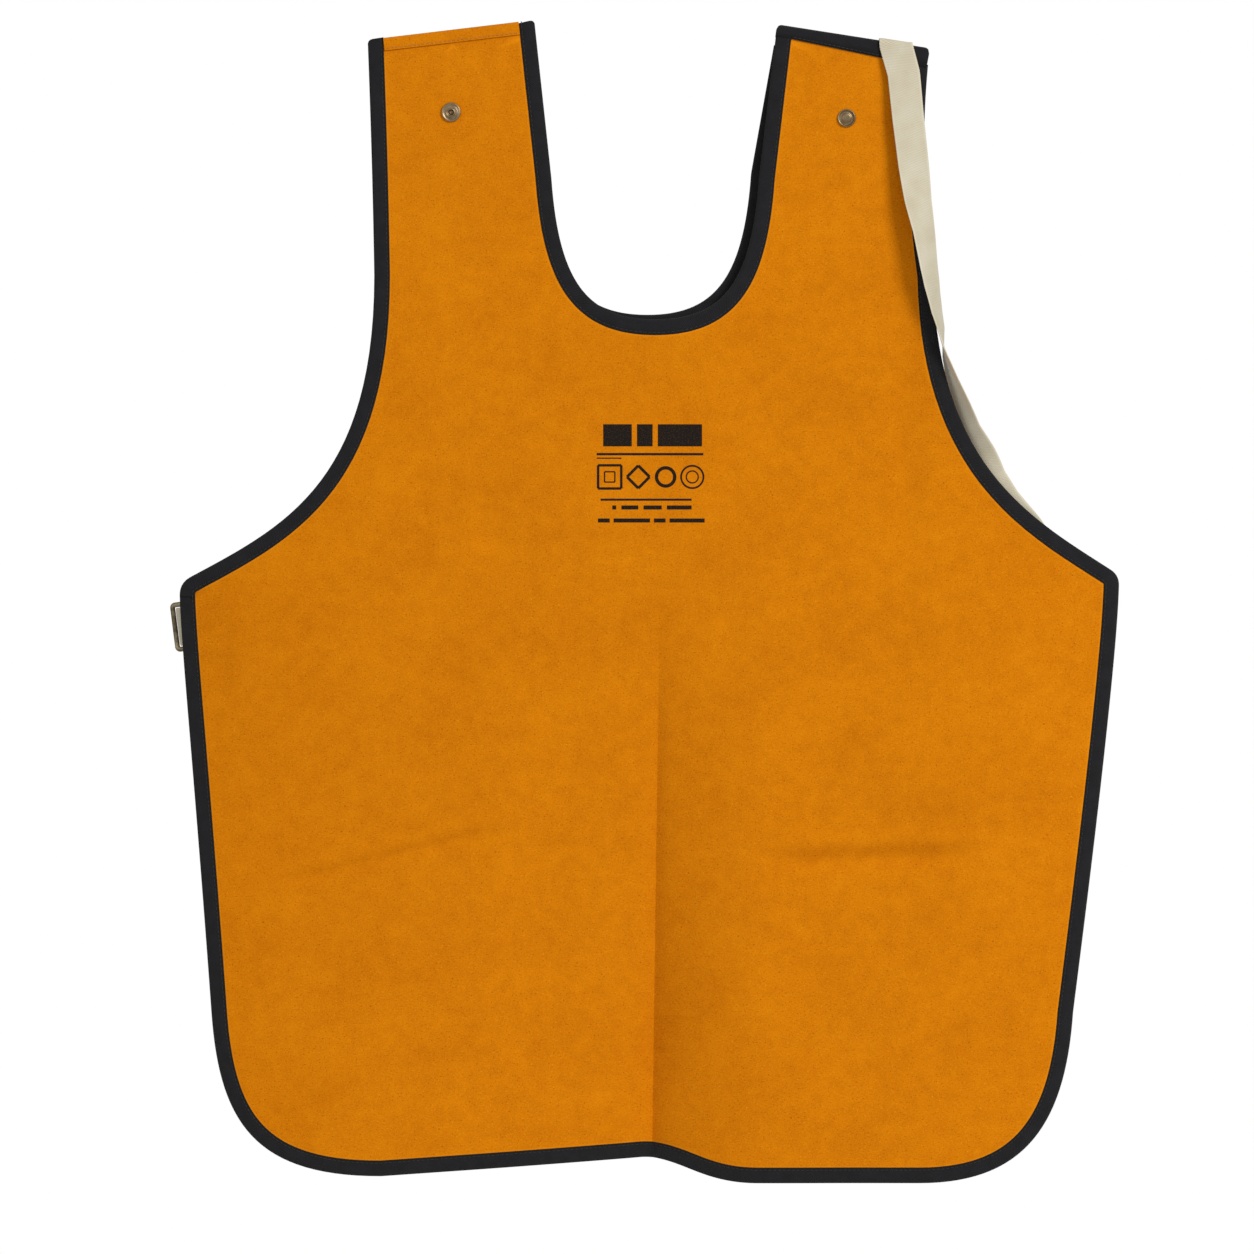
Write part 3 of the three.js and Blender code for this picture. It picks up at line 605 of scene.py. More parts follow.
def side_line(s):
    hip, foot, hem = hip_corner(s), skirt_foot(s), hem_end(s)
    return chain(
        bezier(hip, hip - (0, 40),
               (hip[0] - s["sign"] * 12, hip[1] - 0.45 * (hip[1] - foot[1])), foot),
        bezier(foot, (foot[0] - s["sign"] * 6, foot[1] - 0.65 * SKIRT_CORNER),
               (hem[0] + s["sign"] * (0.75 - 0.03 * s["shift"]) * SKIRT_CORNER, hem[1]), hem))


def hem_line():
    right, left = hem_end(RIGHT), hem_end(LEFT)
    lifted = -APRON_LENGTH + HEM_RISE
    start = (CREASE_X + CREASE_RIGHT_RUN, right[1])
    return chain(
        right,
        bezier(start, (CREASE_X + 0.45 * CREASE_RIGHT_RUN, right[1]),
               (CREASE_X + 0.3 * CREASE_RIGHT_RUN, lifted),
               (CREASE_X - 0.1 * CREASE_RIGHT_RUN, lifted)),
        left)


def rounded(before, after, reach):
    """Joins two lines that meet at a corner through a short curve. Also gives the length along
    the joined line at which the curve's middle lies."""
    corner = before[-1]
    first = stretch_of(before, 0, -reach)
    second = stretch_of(after, reach, 0)
    arc = bezier(first[-1], corner, second[0], steps=8)
    middle = lengths_along(first)[-1] + lengths_along(arc)[4]
    return chain(first, arc, second), middle


STEP = 3.0
neck_edge = spaced(
    neck_line(RIGHT["shift"], NECK_DEPTH, shoulder_neck(LEFT), shoulder_neck(RIGHT)), STEP)
right_edge, _ = rounded(armhole_line(RIGHT), side_line(RIGHT), 7)
left_edge, left_corner = rounded(side_line(LEFT)[::-1], armhole_line(LEFT)[::-1], 9)
long_edge = spaced(chain(right_edge, hem_line(), stretch_of(left_edge, 0, left_corner)), 2.0)
left_arm_edge = spaced(stretch_of(left_edge, left_corner, 0), 2.0)
top_middle = 0.5 * (left_arm_edge[-1] + neck_edge[0])
front_outline, _ = rounded(np.array([top_middle, neck_edge[0]]), neck_edge, 2.5)
front_outline, _ = rounded(front_outline, np.array([neck_edge[-1], long_edge[0]]), 2.5)
front_outline, _ = rounded(front_outline, chain(long_edge, left_arm_edge), 2.5)
front_outline, _ = rounded(front_outline, np.array([left_arm_edge[-1], top_middle]), 2.5)
front_outline = front_outline[:-1]

yoke_neck_ends = [shoulder_neck(s) - (0, YOKE_TOP_DROP) for s in (LEFT, RIGHT)]
yoke_neck = spaced(neck_line(RIGHT["shift"] - YOKE_INSET, NECK_DEPTH - 4, *yoke_neck_ends), STEP)


def yoke_armhole(s):
    top, foot = shoulder_outer(s), strap_foot(s)
    x = 0.5 * (top[0] + foot[0]) - s["sign"] * (0.5 * s["pinch"] + YOKE_INSET)
    bottom = -NECK_DEPTH - YOKE_BAND
    return chain((x, top[1] - YOKE_TOP_DROP), bezier(
        (x, bottom + YOKE_CORNER), (x, bottom), (x - s["sign"] * YOKE_CORNER, bottom)))


yoke_edge = spaced(chain(yoke_armhole(RIGHT), yoke_armhole(LEFT)[::-1]), STEP)
yoke_outline = chain(yoke_neck, yoke_edge)


# --- Sheets of hide ------------------------------------------------------------------------

def inside(points, loop):
    """Which points lie inside a closed loop."""
    x, z = points[:, 0], points[:, 1]
    hit = np.zeros(len(points), bool)
    for (x0, z0), (x1, z1) in zip(loop, np.roll(loop, -1, axis=0)):
        if z0 == z1:
            continue
        crosses = ((z0 > z) != (z1 > z)) & (x < (x1 - x0) * (z - z0) / (z1 - z0) + x0)
        hit ^= crosses
    return hit


def distances_to(points, line):
    fine = spaced(np.vstack([line, line[:1]]), 1.0)
    tree = kdtree.KDTree(len(fine))
    for k, (x, z) in enumerate(fine):
        tree.insert((x, z, 0), k)
    tree.balance()
    return np.array([tree.find((x, z, 0))[2] for x, z in points])


def normals_of(line, closed=False):
    """Inward unit normals of a clockwise line."""
    if closed:
        d = np.roll(line, -1, axis=0) - np.roll(line, 1, axis=0)
    else:
        d = np.gradient(line, axis=0)
    n = np.stack([d[:, 1], -d[:, 0]], 1)
    return n / np.linalg.norm(n, axis=1)[:, None]


def offset_line(line, distance, closed=False):
    return line + distance * normals_of(line, closed)


def hide_sheet(name, outline, surface, holes, step, creased=False):
    """A sheet of hide with its own thickness, cut out along its outline and lifted to the
    surface that it hangs in. Rings of extra points follow the edge, under and beside the tape."""
    low, high = outline.min(0), outline.max(0)
    grid = []
    for row, z in enumerate(np.arange(low[1], high[1], step * 0.87)):
        xs = np.arange(low[0], high[0], step) + (row % 2) * step / 2
        grid.append(np.stack([xs, np.full(len(xs), z)], 1))
    grid = np.vstack(grid)
    grid = grid[inside(grid, outline)]
    away = distances_to(grid, outline)
    grid = grid[away > 17]
    if creased:
        grid = grid[(np.abs(grid[:, 0] - crease_at(grid[:, 1])) > 9) | (grid[:, 1] > -400)]
        rows = np.arange(low[1] + 17, -400, 2.5)
        offsets = np.array([-7.5, -4.5, -2.4, -0.9, 0.0, 0.9, 2.4, 4.5, 7.5])
        columns = np.stack(np.meshgrid(offsets, rows), -1).reshape(-1, 2)
        columns[:, 0] += crease_at(columns[:, 1])
        columns = columns[inside(columns, outline)]
        grid = np.vstack([grid, columns[distances_to(columns, outline) > 17]])
    rings = []
    for distance in (4.0, 8.0, 11.4, 12.6, 14.4):
        ring = offset_line(outline, distance, True)
        ring = ring[inside(ring, outline)]
        rings.append(ring[distances_to(ring, outline) > distance - 0.4])
    loops = [outline] + [hole_loop(hole) for hole in holes]
    extra = [p for hole in holes for p in (hole_loop(hole, 1.8), hole_loop(hole, 2.8))]
    bulk = np.vstack([grid] + rings)
    for (x, z, radius) in holes:
        bulk = bulk[np.hypot(bulk[:, 0] - x, bulk[:, 1] - z) > 3.3 * radius]
    points = np.vstack(loops + extra + [bulk])
    edges, start = [], 0
    for loop in loops:
        count = len(loop)
        edges += [(start + k, start + (k + 1) % count) for k in range(count)]
        start += count
    flat, _, triangles, *_ = geometry.delaunay_2d_cdt(
        [Vector(p) for p in points.tolist()], edges, [], 1, 1e-4)
    flat = np.array([tuple(p) for p in flat])
    triangles = np.array([t for t in triangles if len(t) == 3])
    middles = flat[triangles].mean(1)
    for (x, z, radius) in holes:
        keep = np.hypot(middles[:, 0] - x, middles[:, 1] - z) > radius * 0.98
        triangles, middles = triangles[keep], middles[keep]
    a, b, c = flat[triangles[:, 0]], flat[triangles[:, 1]], flat[triangles[:, 2]]
    turn = (b[:, 0] - a[:, 0]) * (c[:, 1] - a[:, 1]) - (b[:, 1] - a[:, 1]) * (c[:, 0] - a[:, 0])
    triangles[turn < 0] = triangles[turn < 0][:, ::-1]
    return thick_sheet(name, flat, triangles, surface, outline)


def hole_loop(hole, grow=1.0):
    x, z, radius = hole
    turn = np.linspace(0, 2 * math.pi, 24, endpoint=False)
    return np.stack([x + grow * radius * np.cos(turn), z + grow * radius * np.sin(turn)], 1)


def thick_sheet(name, flat, triangles, surface, outline):
    count = len(flat)
    away = distances_to(flat, outline)
    x, z = flat[:, 0], flat[:, 1]
    y = surface(x, z)
    pucker = 0.28 * np.exp(-((away - 13.2) / 1.5) ** 2)
    front = np.stack([x, y - LEATHER / 2 - pucker, z], 1)
    back = np.stack([x, y + LEATHER / 2 + pucker, z], 1)
    directed = {}
    for t in triangles.tolist():
        for p, q in ((t[0], t[1]), (t[1], t[2]), (t[2], t[0])):
            directed[(p, q)] = True
    rim = [(p, q) for (p, q) in directed if (q, p) not in directed]
    faces = triangles.tolist()
    faces += [[c + count, b + count, a + count] for a, b, c in triangles.tolist()]
    faces += [[q, p, p + count, q + count] for p, q in rim]
    index = [0] * len(triangles) + [1] * len(triangles) + [0] * len(rim)
    corners = np.array([v % count for face in faces for v in face])
    # Painted highlight: a brighter line just inside the tape's edge, stored as the "edge"
    # attribute; the back face gets a weaker copy.
    painted_highlight = 0.5 * np.exp(-((away - 11.4) / 0.7) ** 2)
    piece = make_piece(
        name, np.vstack([front, back]), faces, [HIDE, FLESH], flat[corners], index,
        {"edge": np.concatenate([painted_highlight, 0.4 * painted_highlight])})
    return piece


# --- Bindings ------------------------------------------------------------------------------

# Half of the folded tape's section: (distance in from the hide's edge, height off its middle).
TAPE_OUTSIDE = [
    (11.0, 1.25), (10.75, 1.7), (10.2, 1.92), (9.4, 1.78), (9.0, 1.62), (8.6, 1.78), (7.6, 2.04),
    (5.0, 2.1), (2.5, 2.08), (0.9, 2.0), (-0.2, 1.72), (-0.85, 1.2), (-1.1, 0.55)]
TAPE_INSIDE = [(-0.3, 0.5), (0.3, 1.02), (5.5, 1.06), (11.0, 1.04)]


def tape_section():
    """The folded tape's whole section, outside and inside, as (distance in, height)."""
    front = [(u, -h) for u, h in TAPE_OUTSIDE]
    back = [(u, h) for u, h in TAPE_OUTSIDE[::-1]]
    inner = [(u, h) for u, h in TAPE_INSIDE[::-1]] + [(u, -h) for u, h in TAPE_INSIDE]
    return np.array(front + [(-1.15, 0.0)] + back + inner)


def tidy_offset(line, distance):
    """An inward offset whose crossed-over stretch at a tight corner is gathered into one point."""
    made = offset_line(line, distance)
    if distance < 3:
        return made
    gap = np.linalg.norm(made[:, None, :] - line[None, :, :], axis=2).min(1)
    bad = gap < distance - 0.25
    bad[:2] = bad[-2:] = False
    k = 0
    while k < len(bad):
        if bad[k]:
            end = k
            while end < len(bad) and bad[end]:
                end += 1
            made[k:end] = 0.5 * (made[k - 1] + made[end])
            k = end
        k += 1
    return made


def corner_cut(u, radius=3.5):
    """How much a tape's end loses at a distance in from the hide's edge, to round its corner."""
    short = max(0.0, radius - (u + 1.15))
    return radius - math.sqrt(max(0.0, radius * radius - short * short))


def binding(name, line, surface, lift=None, trims=(None, None)):
    """Folded tape along a line. Each trim gives the length that one end loses at a distance
    in from the hide's edge."""
    section = tape_section()
    at = lengths_along(line)
    rings = np.zeros((len(line), len(section), 3))
    raised = np.zeros(len(line)) if lift is None else lift(at)
    for k, (u, h) in enumerate(section):
        place = tidy_offset(line, u)
        where = at.copy()
        if trims[0]:
            where = where + trims[0](u) * smooth(1 - at / 14)
        if trims[1]:
            where = where - trims[1](u) * smooth(1 - (at[-1] - at) / 14)
        x, z = (np.interp(where, at, place[:, c]) for c in (0, 1))
        for end, over in ((0, where[0]), (-1, at[-1] - where[-1])):
            if over < 0:
                ahead = place[end] - place[1 if end == 0 else -2]
                ahead = ahead / np.linalg.norm(ahead)
                x[end], z[end] = place[end] - over * ahead
        wobble = 0.06 * np.sin(at / 6.3 + k) * (abs(h) > 1.5) + 0.05 * np.sin(at / 1.9) * (u > 8)
        side = np.sign(h) * (raised + wobble)
        rings[:, k] = np.stack([x, surface(x, z) + h + side, z], 1)
    closed = np.vstack([section, section[:1]])
    u = section[:, 0]
    # Painted shade: "rim" darkens the tape along its folded outer edge and its inner edge.
    rim = 0.85 * smooth((u - 9.9) / 0.8) + 0.75 * smooth((-u - 0.2) / 0.6)
    painted_rim_shade = {"rim": np.tile(rim, len(line))}
    return loft(name, rings, at, lengths_along(closed), TWILL, painted_rim_shade, sharp=55)


def binding_seam(line, surface, face=1.72, inset=9.0, lift=None):
    """Where a tape's stitches lie, front and back: points with the direction of the seam."""
    path = spaced(tidy_offset(line, inset), 3.6)
    raised = 0 if lift is None else lift(lengths_along(path))
    y = surface(path[:, 0], path[:, 1])
    front = np.stack([path[:, 0], y - face - raised, path[:, 1]], 1)
    back = np.stack([path[:, 0], y + face + raised, path[:, 1]], 1)
    return [(front, (0, -1, 0)), (back, (0, 1, 0))]


def stitches(name, seams, material, length=3.0, radius=0.34):
    """Thread over a seam: one short arched loop for each stitch. Each seam is a line of points
    and the direction that faces out of the cloth there."""
    ends = np.array([-0.5, -0.4, -0.2, 0.0, 0.2, 0.4, 0.5]) * length
    girth = np.array([0.35, 0.85, 1.0, 1.0, 1.0, 0.85, 0.35]) * radius
    rise = np.array([-0.9, -0.25, 0.25, 0.4, 0.25, -0.25, -0.9]) * radius
    turn = np.linspace(0, 2 * math.pi, 6, endpoint=False)
    cos, sin = np.cos(turn)[:, None], np.sin(turn)[:, None]
    points, faces, count = [], [], 0
    quads, _, _ = grid_faces(len(ends), 6, True)
    caps = [list(range(6))[::-1], [36 + k for k in range(6)]]
    for line, out in seams:
        ahead = np.gradient(line, axis=0)
        ahead /= np.linalg.norm(ahead, axis=1)[:, None]
        out = np.broadcast_to(np.array(out, float), line.shape)
        side = np.cross(ahead, out)
        side /= np.linalg.norm(side, axis=1)[:, None]
        up = np.cross(side, ahead)
        for p, a, s, n in zip(line, ahead, side, up):
            for e, g, r in zip(ends, girth, rise):
                points.append(p + e * a + r * n + g * (cos * s + sin * n))
            faces += (quads + count).tolist() + [[v + count for v in cap] for cap in caps]
            count += 42
    points = np.vstack(points)
    if volume_of(points, faces) < 0:
        faces = [f[::-1] for f in faces]
    return make_piece(name, points, faces, [material], sharp=80)


# --- Flat webbing --------------------------------------------------------------------------

RIB_PITCH = 1.3
RIB_COLUMN = 1.95


def webbing(name, centres, widths, width=WEBBING_WIDTH):
    """A woven strap along a line of points with a width direction at each. Its ribs alternate
    from column to column as the yarns cross, and its edges are thin and round."""
    at = lengths_along(centres)
    ahead = np.gradient(centres, axis=0)
    ahead /= np.linalg.norm(ahead, axis=1)[:, None]
    widths = widths - (widths * ahead).sum(1)[:, None] * ahead
    widths /= np.linalg.norm(widths, axis=1)[:, None]
    thick = np.cross(ahead, widths)
    half = width / 2
    u = np.concatenate([[-1, -0.985], np.linspace(-0.94, 0.94, 25), [0.985, 1]])
    body = (1 - np.abs(u) ** 9) ** 0.5 * WEBBING / 2
    column = np.cos(math.pi * u * half / RIB_COLUMN)
    across = np.concatenate([u, u[::-1][1:-1]])
    rings = np.zeros((len(at), len(across), 3))
    ribs = np.zeros((len(at), len(across)))
    ease = np.clip(np.minimum(at, at[-1] - at) / 1.2, 0, 1)
    ease = 0.35 + 0.65 * np.sqrt(ease)
    for k, w in enumerate(across):
        top = k < len(u)
        j = k if top else len(u) - 1 - (k - len(u) + 1)
        side = 1 if top else -1
        weave = np.cos(2 * math.pi * at / RIB_PITCH) * column[j] * side
        calm = 0.075 * min(1.0, 4 * (1 - abs(w)))
        height = (body[j] + calm * weave - calm) * ease
        edge = w * half + 0.12 * np.sin(2 * math.pi * at / RIB_PITCH) * (abs(w) > 0.97)
        rings[:, k] = centres + edge[:, None] * widths + (height * side)[:, None] * thick
        # The "rib" attribute is the weave's height, which the cloth turns into painted shade in the
        # hollows; near the edges it is raised, so they come out paler.
        ribs[:, k] = np.clip(0.5 + 0.5 * weave + (0.35 if abs(w) > 0.9 else 0), 0, 1)
    flat_section = np.stack([across * half, np.zeros(len(across))], 1)
    uv_across = np.concatenate([lengths_along(flat_section), [2 * width]])
    return loft(name, rings, at, uv_across, CLOTH, {"rib": ribs.ravel()}, sharp=70)


def smoothed(values, spread):
    """Rounds the corners of an evenly spaced line by averaging, and keeps its ends."""
    kernel = np.hanning(2 * spread + 3)[1:-1]
    kernel /= kernel.sum()
    first = 2 * values[0] - values[spread:0:-1]
    last = 2 * values[-1] - values[-2:-spread - 2:-1]
    padded = np.vstack([first, values, last])
    return np.stack([np.convolve(padded[:, k], kernel, "valid") for k in range(values.shape[1])], 1)


def strap_route(stations, step, spread):
    """Evenly spaced centres and width directions through stations of (x, y, z, width)."""
    rows = np.array([[*s[:3], *s[3]] for s in stations], float)
    at = lengths_along(rows[:, :3])
    wanted = np.linspace(0, at[-1], int(round(at[-1] / step)) + 1)
    even = np.stack([np.interp(wanted, at, rows[:, k]) for k in range(6)], 1)
    even = smoothed(even, spread)
    return even[:, :3], even[:, 3:]


add_camera()
add_world()
add_area_light("key", (2.8, -3.35, 1.95), (0, 0, -0.45), 1.5, 160)
add_area_light("fill", (-2.6, -3.2, 0.2), (0, 0, -0.45), 2.4, 19)
bpy.context.scene.view_settings.view_transform = "Standard"

# Front hide with its bindings
snap_middles = {}
for side, key in ((LEFT, "left"), (RIGHT, "right")):
    middle = (shoulder_outer(side) + shoulder_neck(side)) / 2
    snap_middles[key] = (middle[0] - 1.3 * side["shift"], middle[1] - SNAP_DROP)
holes = [(x, z, 2.2) for x, z in snap_middles.values()]
front = hide_sheet("hide_front", front_outline, lie, holes, 4.0, True)
yoke = hide_sheet("hide_yoke", yoke_outline, yoke_lie, [], 6.0)

neck_tape_line = stretch_of(neck_edge, 0, -RIGHT_SEAM_LEGS[0] + 2)
skirt_tape_line = stretch_of(long_edge, 12, -3)
overlap = stretch_of(left_edge, left_corner - 9, left_corner)
left_tape_line = spaced(chain(overlap, left_arm_edge), 2.0)


def over_join(at):
    return 0.85 * smooth((26 - at) / 8)


fall = (shoulder_neck(LEFT)[1] - shoulder_outer(LEFT)[1]) / (STRAP_HALF_SPAN - NECK_HALF_WIDTH + 3)
PROUD_END = 1.4


def neck_end(u):
    return corner_cut(u) + fall * u - PROUD_END


def armhole_end(u):
    return corner_cut(u) - fall * u - PROUD_END


neck_tape = binding("tape_neck", neck_tape_line, lie, trims=(neck_end, None))
skirt_tape = binding("tape_skirt", skirt_tape_line, lie)
left_tape = binding(
    "tape_left_armhole", left_tape_line, lie, over_join, (corner_cut, armhole_end))
front_threads = stitches("threads_front_tape", [
    *binding_seam(neck_tape_line, lie), *binding_seam(skirt_tape_line, lie),
    *binding_seam(left_tape_line, lie, lift=over_join)], BLACK_THREAD)

below_seam = LEFT_SEAM_LEG + 4
yoke_neck_line = stretch_of(yoke_neck, below_seam, -below_seam)
yoke_edge_line = stretch_of(yoke_edge, below_seam, -below_seam)
yoke_neck_tape = binding("tape_yoke_neck", yoke_neck_line, yoke_lie)
yoke_edge_tape = binding("tape_yoke_edge", yoke_edge_line, yoke_lie)
yoke_threads = stitches("threads_yoke_tape", [
    *binding_seam(yoke_neck_line, yoke_lie), *binding_seam(yoke_edge_line, yoke_lie)], BLACK_THREAD)


# --- Shoulder seams ------------------------------------------------------------------------

def shoulder_frame(side):
    """Middle, unit direction to the right and unit direction up of a shoulder line."""
    ends = sorted([shoulder_outer(side), shoulder_neck(side)], key=lambda p: p[0])
    d = ends[1] - ends[0]
    length = float(np.linalg.norm(d))
    d = d / length
    return (ends[0] + ends[1]) / 2, d, np.array([-d[1], d[0]]), length


def leg_at(legs, s, length):
    """How far a seam's front leg hangs, from its left end to its right end."""
    return legs[0] + (legs[1] - legs[0]) * (s / length + 0.5)


def shoulder_seam(name, side, legs, thickness, reach, lean, material, proud, radius):
    """A strip bent over the shoulder, down the front hide's top edge and down towards the yoke.
    legs are the front leg's lengths at its two ends. reach is how far each end stops short of
    the hide's edge, lean how much each end slants, proud how far it stands out over the tape
    below it, and radius rounds its top corners."""
    middle, right, up, length = shoulder_frame(side)
    half = length / 2 - reach
    face = -SLEEVE - thickness
    back = YOKE_Y - LEATHER / 2 - 2 * GAP
    crown = GAP + thickness
    inside_back = back - thickness
    outer = [
        (face + 0.1, -1.0), (face, -0.94), (face - 0.12, -0.5), (face, -1.2), (face + 0.3, 0.1),
        (face + 0.9, crown - 0.5), (face + 1.9, crown - 0.05), (2.5, crown + 0.15),
        (back - 1.9, crown - 0.05), (back - 0.9, crown - 0.5), (back - 0.3, 0.1), (back, -1.2),
        (back, -LEFT_SEAM_LEG + 0.5), (back - 0.1, -LEFT_SEAM_LEG)]
    inner = [
        (inside_back, -LEFT_SEAM_LEG), (inside_back, -1.0), (inside_back - 0.7, GAP - 0.1),
        (-SLEEVE + 0.7, GAP - 0.1), (-SLEEVE, -1.0), (-SLEEVE, -1.0)]
    section = np.array(outer + inner)
    hanging = [0, 1, 2, len(section) - 1]
    s = np.linspace(-half, half, int(2 * half / 1.2))
    leg = leg_at(legs, s, 2 * half)
    from_end = half - np.abs(s)
    ends = smooth(1 - from_end / 13)
    short = np.maximum(0, radius - from_end)
    round_off = radius - np.sqrt(np.maximum(0, radius ** 2 - short ** 2)) if radius else 0 * s
    rings = np.zeros((len(s), len(section), 3))
    for k, (y, h) in enumerate(section):
        height = h * leg if k in hanging else h - round_off * smooth((h + 3) / 2.5)
        out = proud * ends * (-1 if y < 0 else 0) * smooth((1.2 - h) / 1.2)
        wave = 0.1 * np.sin(s / 5.1 + k) * (k < len(outer) - 2)
        along = s * (1 + lean * height / half)
        x = middle[0] + along * right[0] + height * up[0]
        z = middle[1] + along * right[1] + height * up[1]
        rings[:, k] = np.stack([x, np.full(len(s), y) + out + 0.6 * wave, z], 1)
    line = section.copy()
    line[hanging, 1] *= legs[1]
    closed = np.vstack([line, line[:1]])
    # Painted shade: "rim" darkens the bottom of the front leg; only the twill tape reads it.
    rim = np.tile([0.7 if k in (0, 1) else 0.0 for k in range(len(section))], len(s))
    return loft(name, rings, s, lengths_along(closed), material, {"rim": rim}, 50)


def seam_stitches(side, inset, legs, y, out, spacing=3.4):
    middle, right, up, length = shoulder_frame(side)
    s = np.arange(-length / 2 + inset, length / 2 - inset, spacing)
    height = -leg_at(legs, s, length)
    x = middle[0] + s * right[0] + height * up[0]
    z = middle[1] + s * right[1] + height * up[1]
    return (np.stack([x, np.full(len(s), y), z], 1), (0, out, 0))


left_seam = shoulder_seam(
    "seam_left_shoulder", LEFT, (LEFT_SEAM_LEG, LEFT_SEAM_LEG), 1.2, BINDING_WIDTH + 0.05, 0.0,
    HIDE, 0.0, 0.0)
right_seam = shoulder_seam(
    "seam_right_shoulder", RIGHT, RIGHT_SEAM_LEGS, TAPE, -1.3, 0.03, TWILL, 0.85, 4.0)
left_seam_threads = stitches("threads_left_shoulder", [
    seam_stitches(LEFT, 14, (7.0, 7.0), -2.58, -1)], TAN_THREAD)
right_seam_threads = stitches("threads_right_shoulder", [
    seam_stitches(RIGHT, 14, (6.4, 12.4), -2.2, -1)], BLACK_THREAD)
yoke_top_threads = stitches("threads_yoke_top", [
    seam_stitches(side, 20, (8.5, 8.5), YOKE_Y + 1.1, 1) for side in (LEFT, RIGHT)], TAN_THREAD)


# --- Snaps ---------------------------------------------------------------------------------

def turned(name, profile, x, z, material, segments=64):
    """A turned part about a line along Y, from a closed profile of (radius, y)."""
    profile = np.array([(max(r, 0.015), y) for r, y in profile])
    turn = np.linspace(0, 2 * math.pi, segments, endpoint=False)
    count = len(profile)
    rings = np.stack([
        x + np.outer(np.cos(turn), profile[:, 0]),
        np.broadcast_to(profile[:, 1], (segments, count)),
        z + np.outer(np.sin(turn), profile[:, 0])], 2)
    points = rings.reshape(-1, 3)
    quads, _, _ = grid_faces(segments, count, True)
    last = (segments - 1) * count
    wrap = [[last + j, j, (j + 1) % count, last + (j + 1) % count] for j in range(count)]
    faces = quads.tolist() + wrap
    if volume_of(points, faces) < 0:
        faces = [f[::-1] for f in faces]
    return make_piece(name, points, faces, [material], sharp=32)


def eased(profile, steps=2):
    """Rounds a closed profile's corners by cutting them."""
    p = np.array(profile, float)
    for _ in range(steps):
        q = np.roll(p, -1, axis=0)
        p = np.stack([0.78 * p + 0.22 * q, 0.22 * p + 0.78 * q], 1).reshape(-1, 2)
    return p


face = -LEATHER / 2 - 0.05
back_face = LEATHER / 2 + 0.05
socket = [
    (2.1, 0), (2.1, -1.0), (2.6, -1.15), (3.0, -0.9), (3.3, -1.5), (5.0, -1.55),
    (5.4, -1.15), (5.8, -1.5), (6.9, -1.85), (7.45, -1.3), (7.4, -0.3), (6.9, 0)]
stud = [
    (0, 0), (0, -3.75), (1.6, -3.7), (2.9, -3.55), (3.7, -3.1), (3.5, -2.3), (3.3, -1.6),
    (4.0, -1.0), (5.3, -1.0), (5.9, -1.6), (6.5, -1.75), (7.0, -1.2), (6.95, -0.3), (6.5, 0)]
rivet = [
    (0, -2.9), (1.6, -2.9), (1.8, -2.6), (1.8, 0), (5.3, 0), (5.5, 0.4), (5.0, 0.9),
    (3.4, 1.4), (1.0, 1.6), (0, 1.6)]
socket, stud = ([(r, face + y) for r, y in part] for part in (socket, stud))
rivet = [(r, back_face + y) for r, y in rivet]
left_at, right_at = snap_middles["left"], snap_middles["right"]
left_y, right_y = (float(lie(np.array(p[0]), np.array(p[1]))) for p in (left_at, right_at))


def sunk(profile, depth):
    """The same rivet with its tip drawn back into the hole."""
    return [(r, y + (depth if y < -1.0 else 0)) for r, y in profile]


def snap_part(name, profile, at, y):
    return turned(name, [(r, h + y) for r, h in eased(profile)], *at, SNAP_BRASS)


snap_socket = snap_part("snap_socket", socket, left_at, left_y)
left_rivet = snap_part("snap_socket_rivet", sunk(rivet, 2.0), left_at, left_y)
snap_stud = snap_part("snap_stud", stud, right_at, right_y)
right_rivet = snap_part("snap_stud_rivet", sunk(rivet, 0.6), right_at, right_y)

# --- Belt over the right shoulder, and its tail --------------------------------------------

outer, inner = shoulder_outer(RIGHT), shoulder_neck(RIGHT)
slope = (outer - inner) / np.linalg.norm(outer - inner)
crossing = outer - slope * WEBBING_WIDTH
crest = crossing[1] + GAP + TAPE + GAP + WEBBING / 2 + 0.3
BELT_FRONT_Y = -BINDING_FACE - GAP - WEBBING / 2 - 0.4
TAIL_Y = YOKE_Y + BINDING_FACE + GAP + WEBBING / 2
flat = (slope[0], 0, slope[1])
edge, hip = strap_foot(RIGHT), hip_corner(RIGHT)


def turn_by(degrees):
    a = math.radians(degrees)
    return (math.cos(a), math.sin(a), 0)


def behind(x, z):
    half = WEBBING_WIDTH / 2
    tilt = float(hang(x + half, z) - hang(x - half, z)) / WEBBING_WIDTH
    return (x, float(hang(x, z)) + BINDING_FACE + GAP + WEBBING, z, (-1, -tilt, 0))


def beside(out, y, drop, degrees):
    """Outside the armhole's edge, a given way below the foot of the strap."""
    z = edge[1] - drop
    return (float(np.interp(-z, -armhole[:, 1], armhole[:, 0])) + out, y, z, turn_by(degrees))


def tucked(reach, drop):
    """Behind the hide, at shares of the armhole's reach and drop."""
    return behind(edge[0] + reach * (hip[0] - edge[0]), edge[1] + drop * (hip[1] - edge[1]))


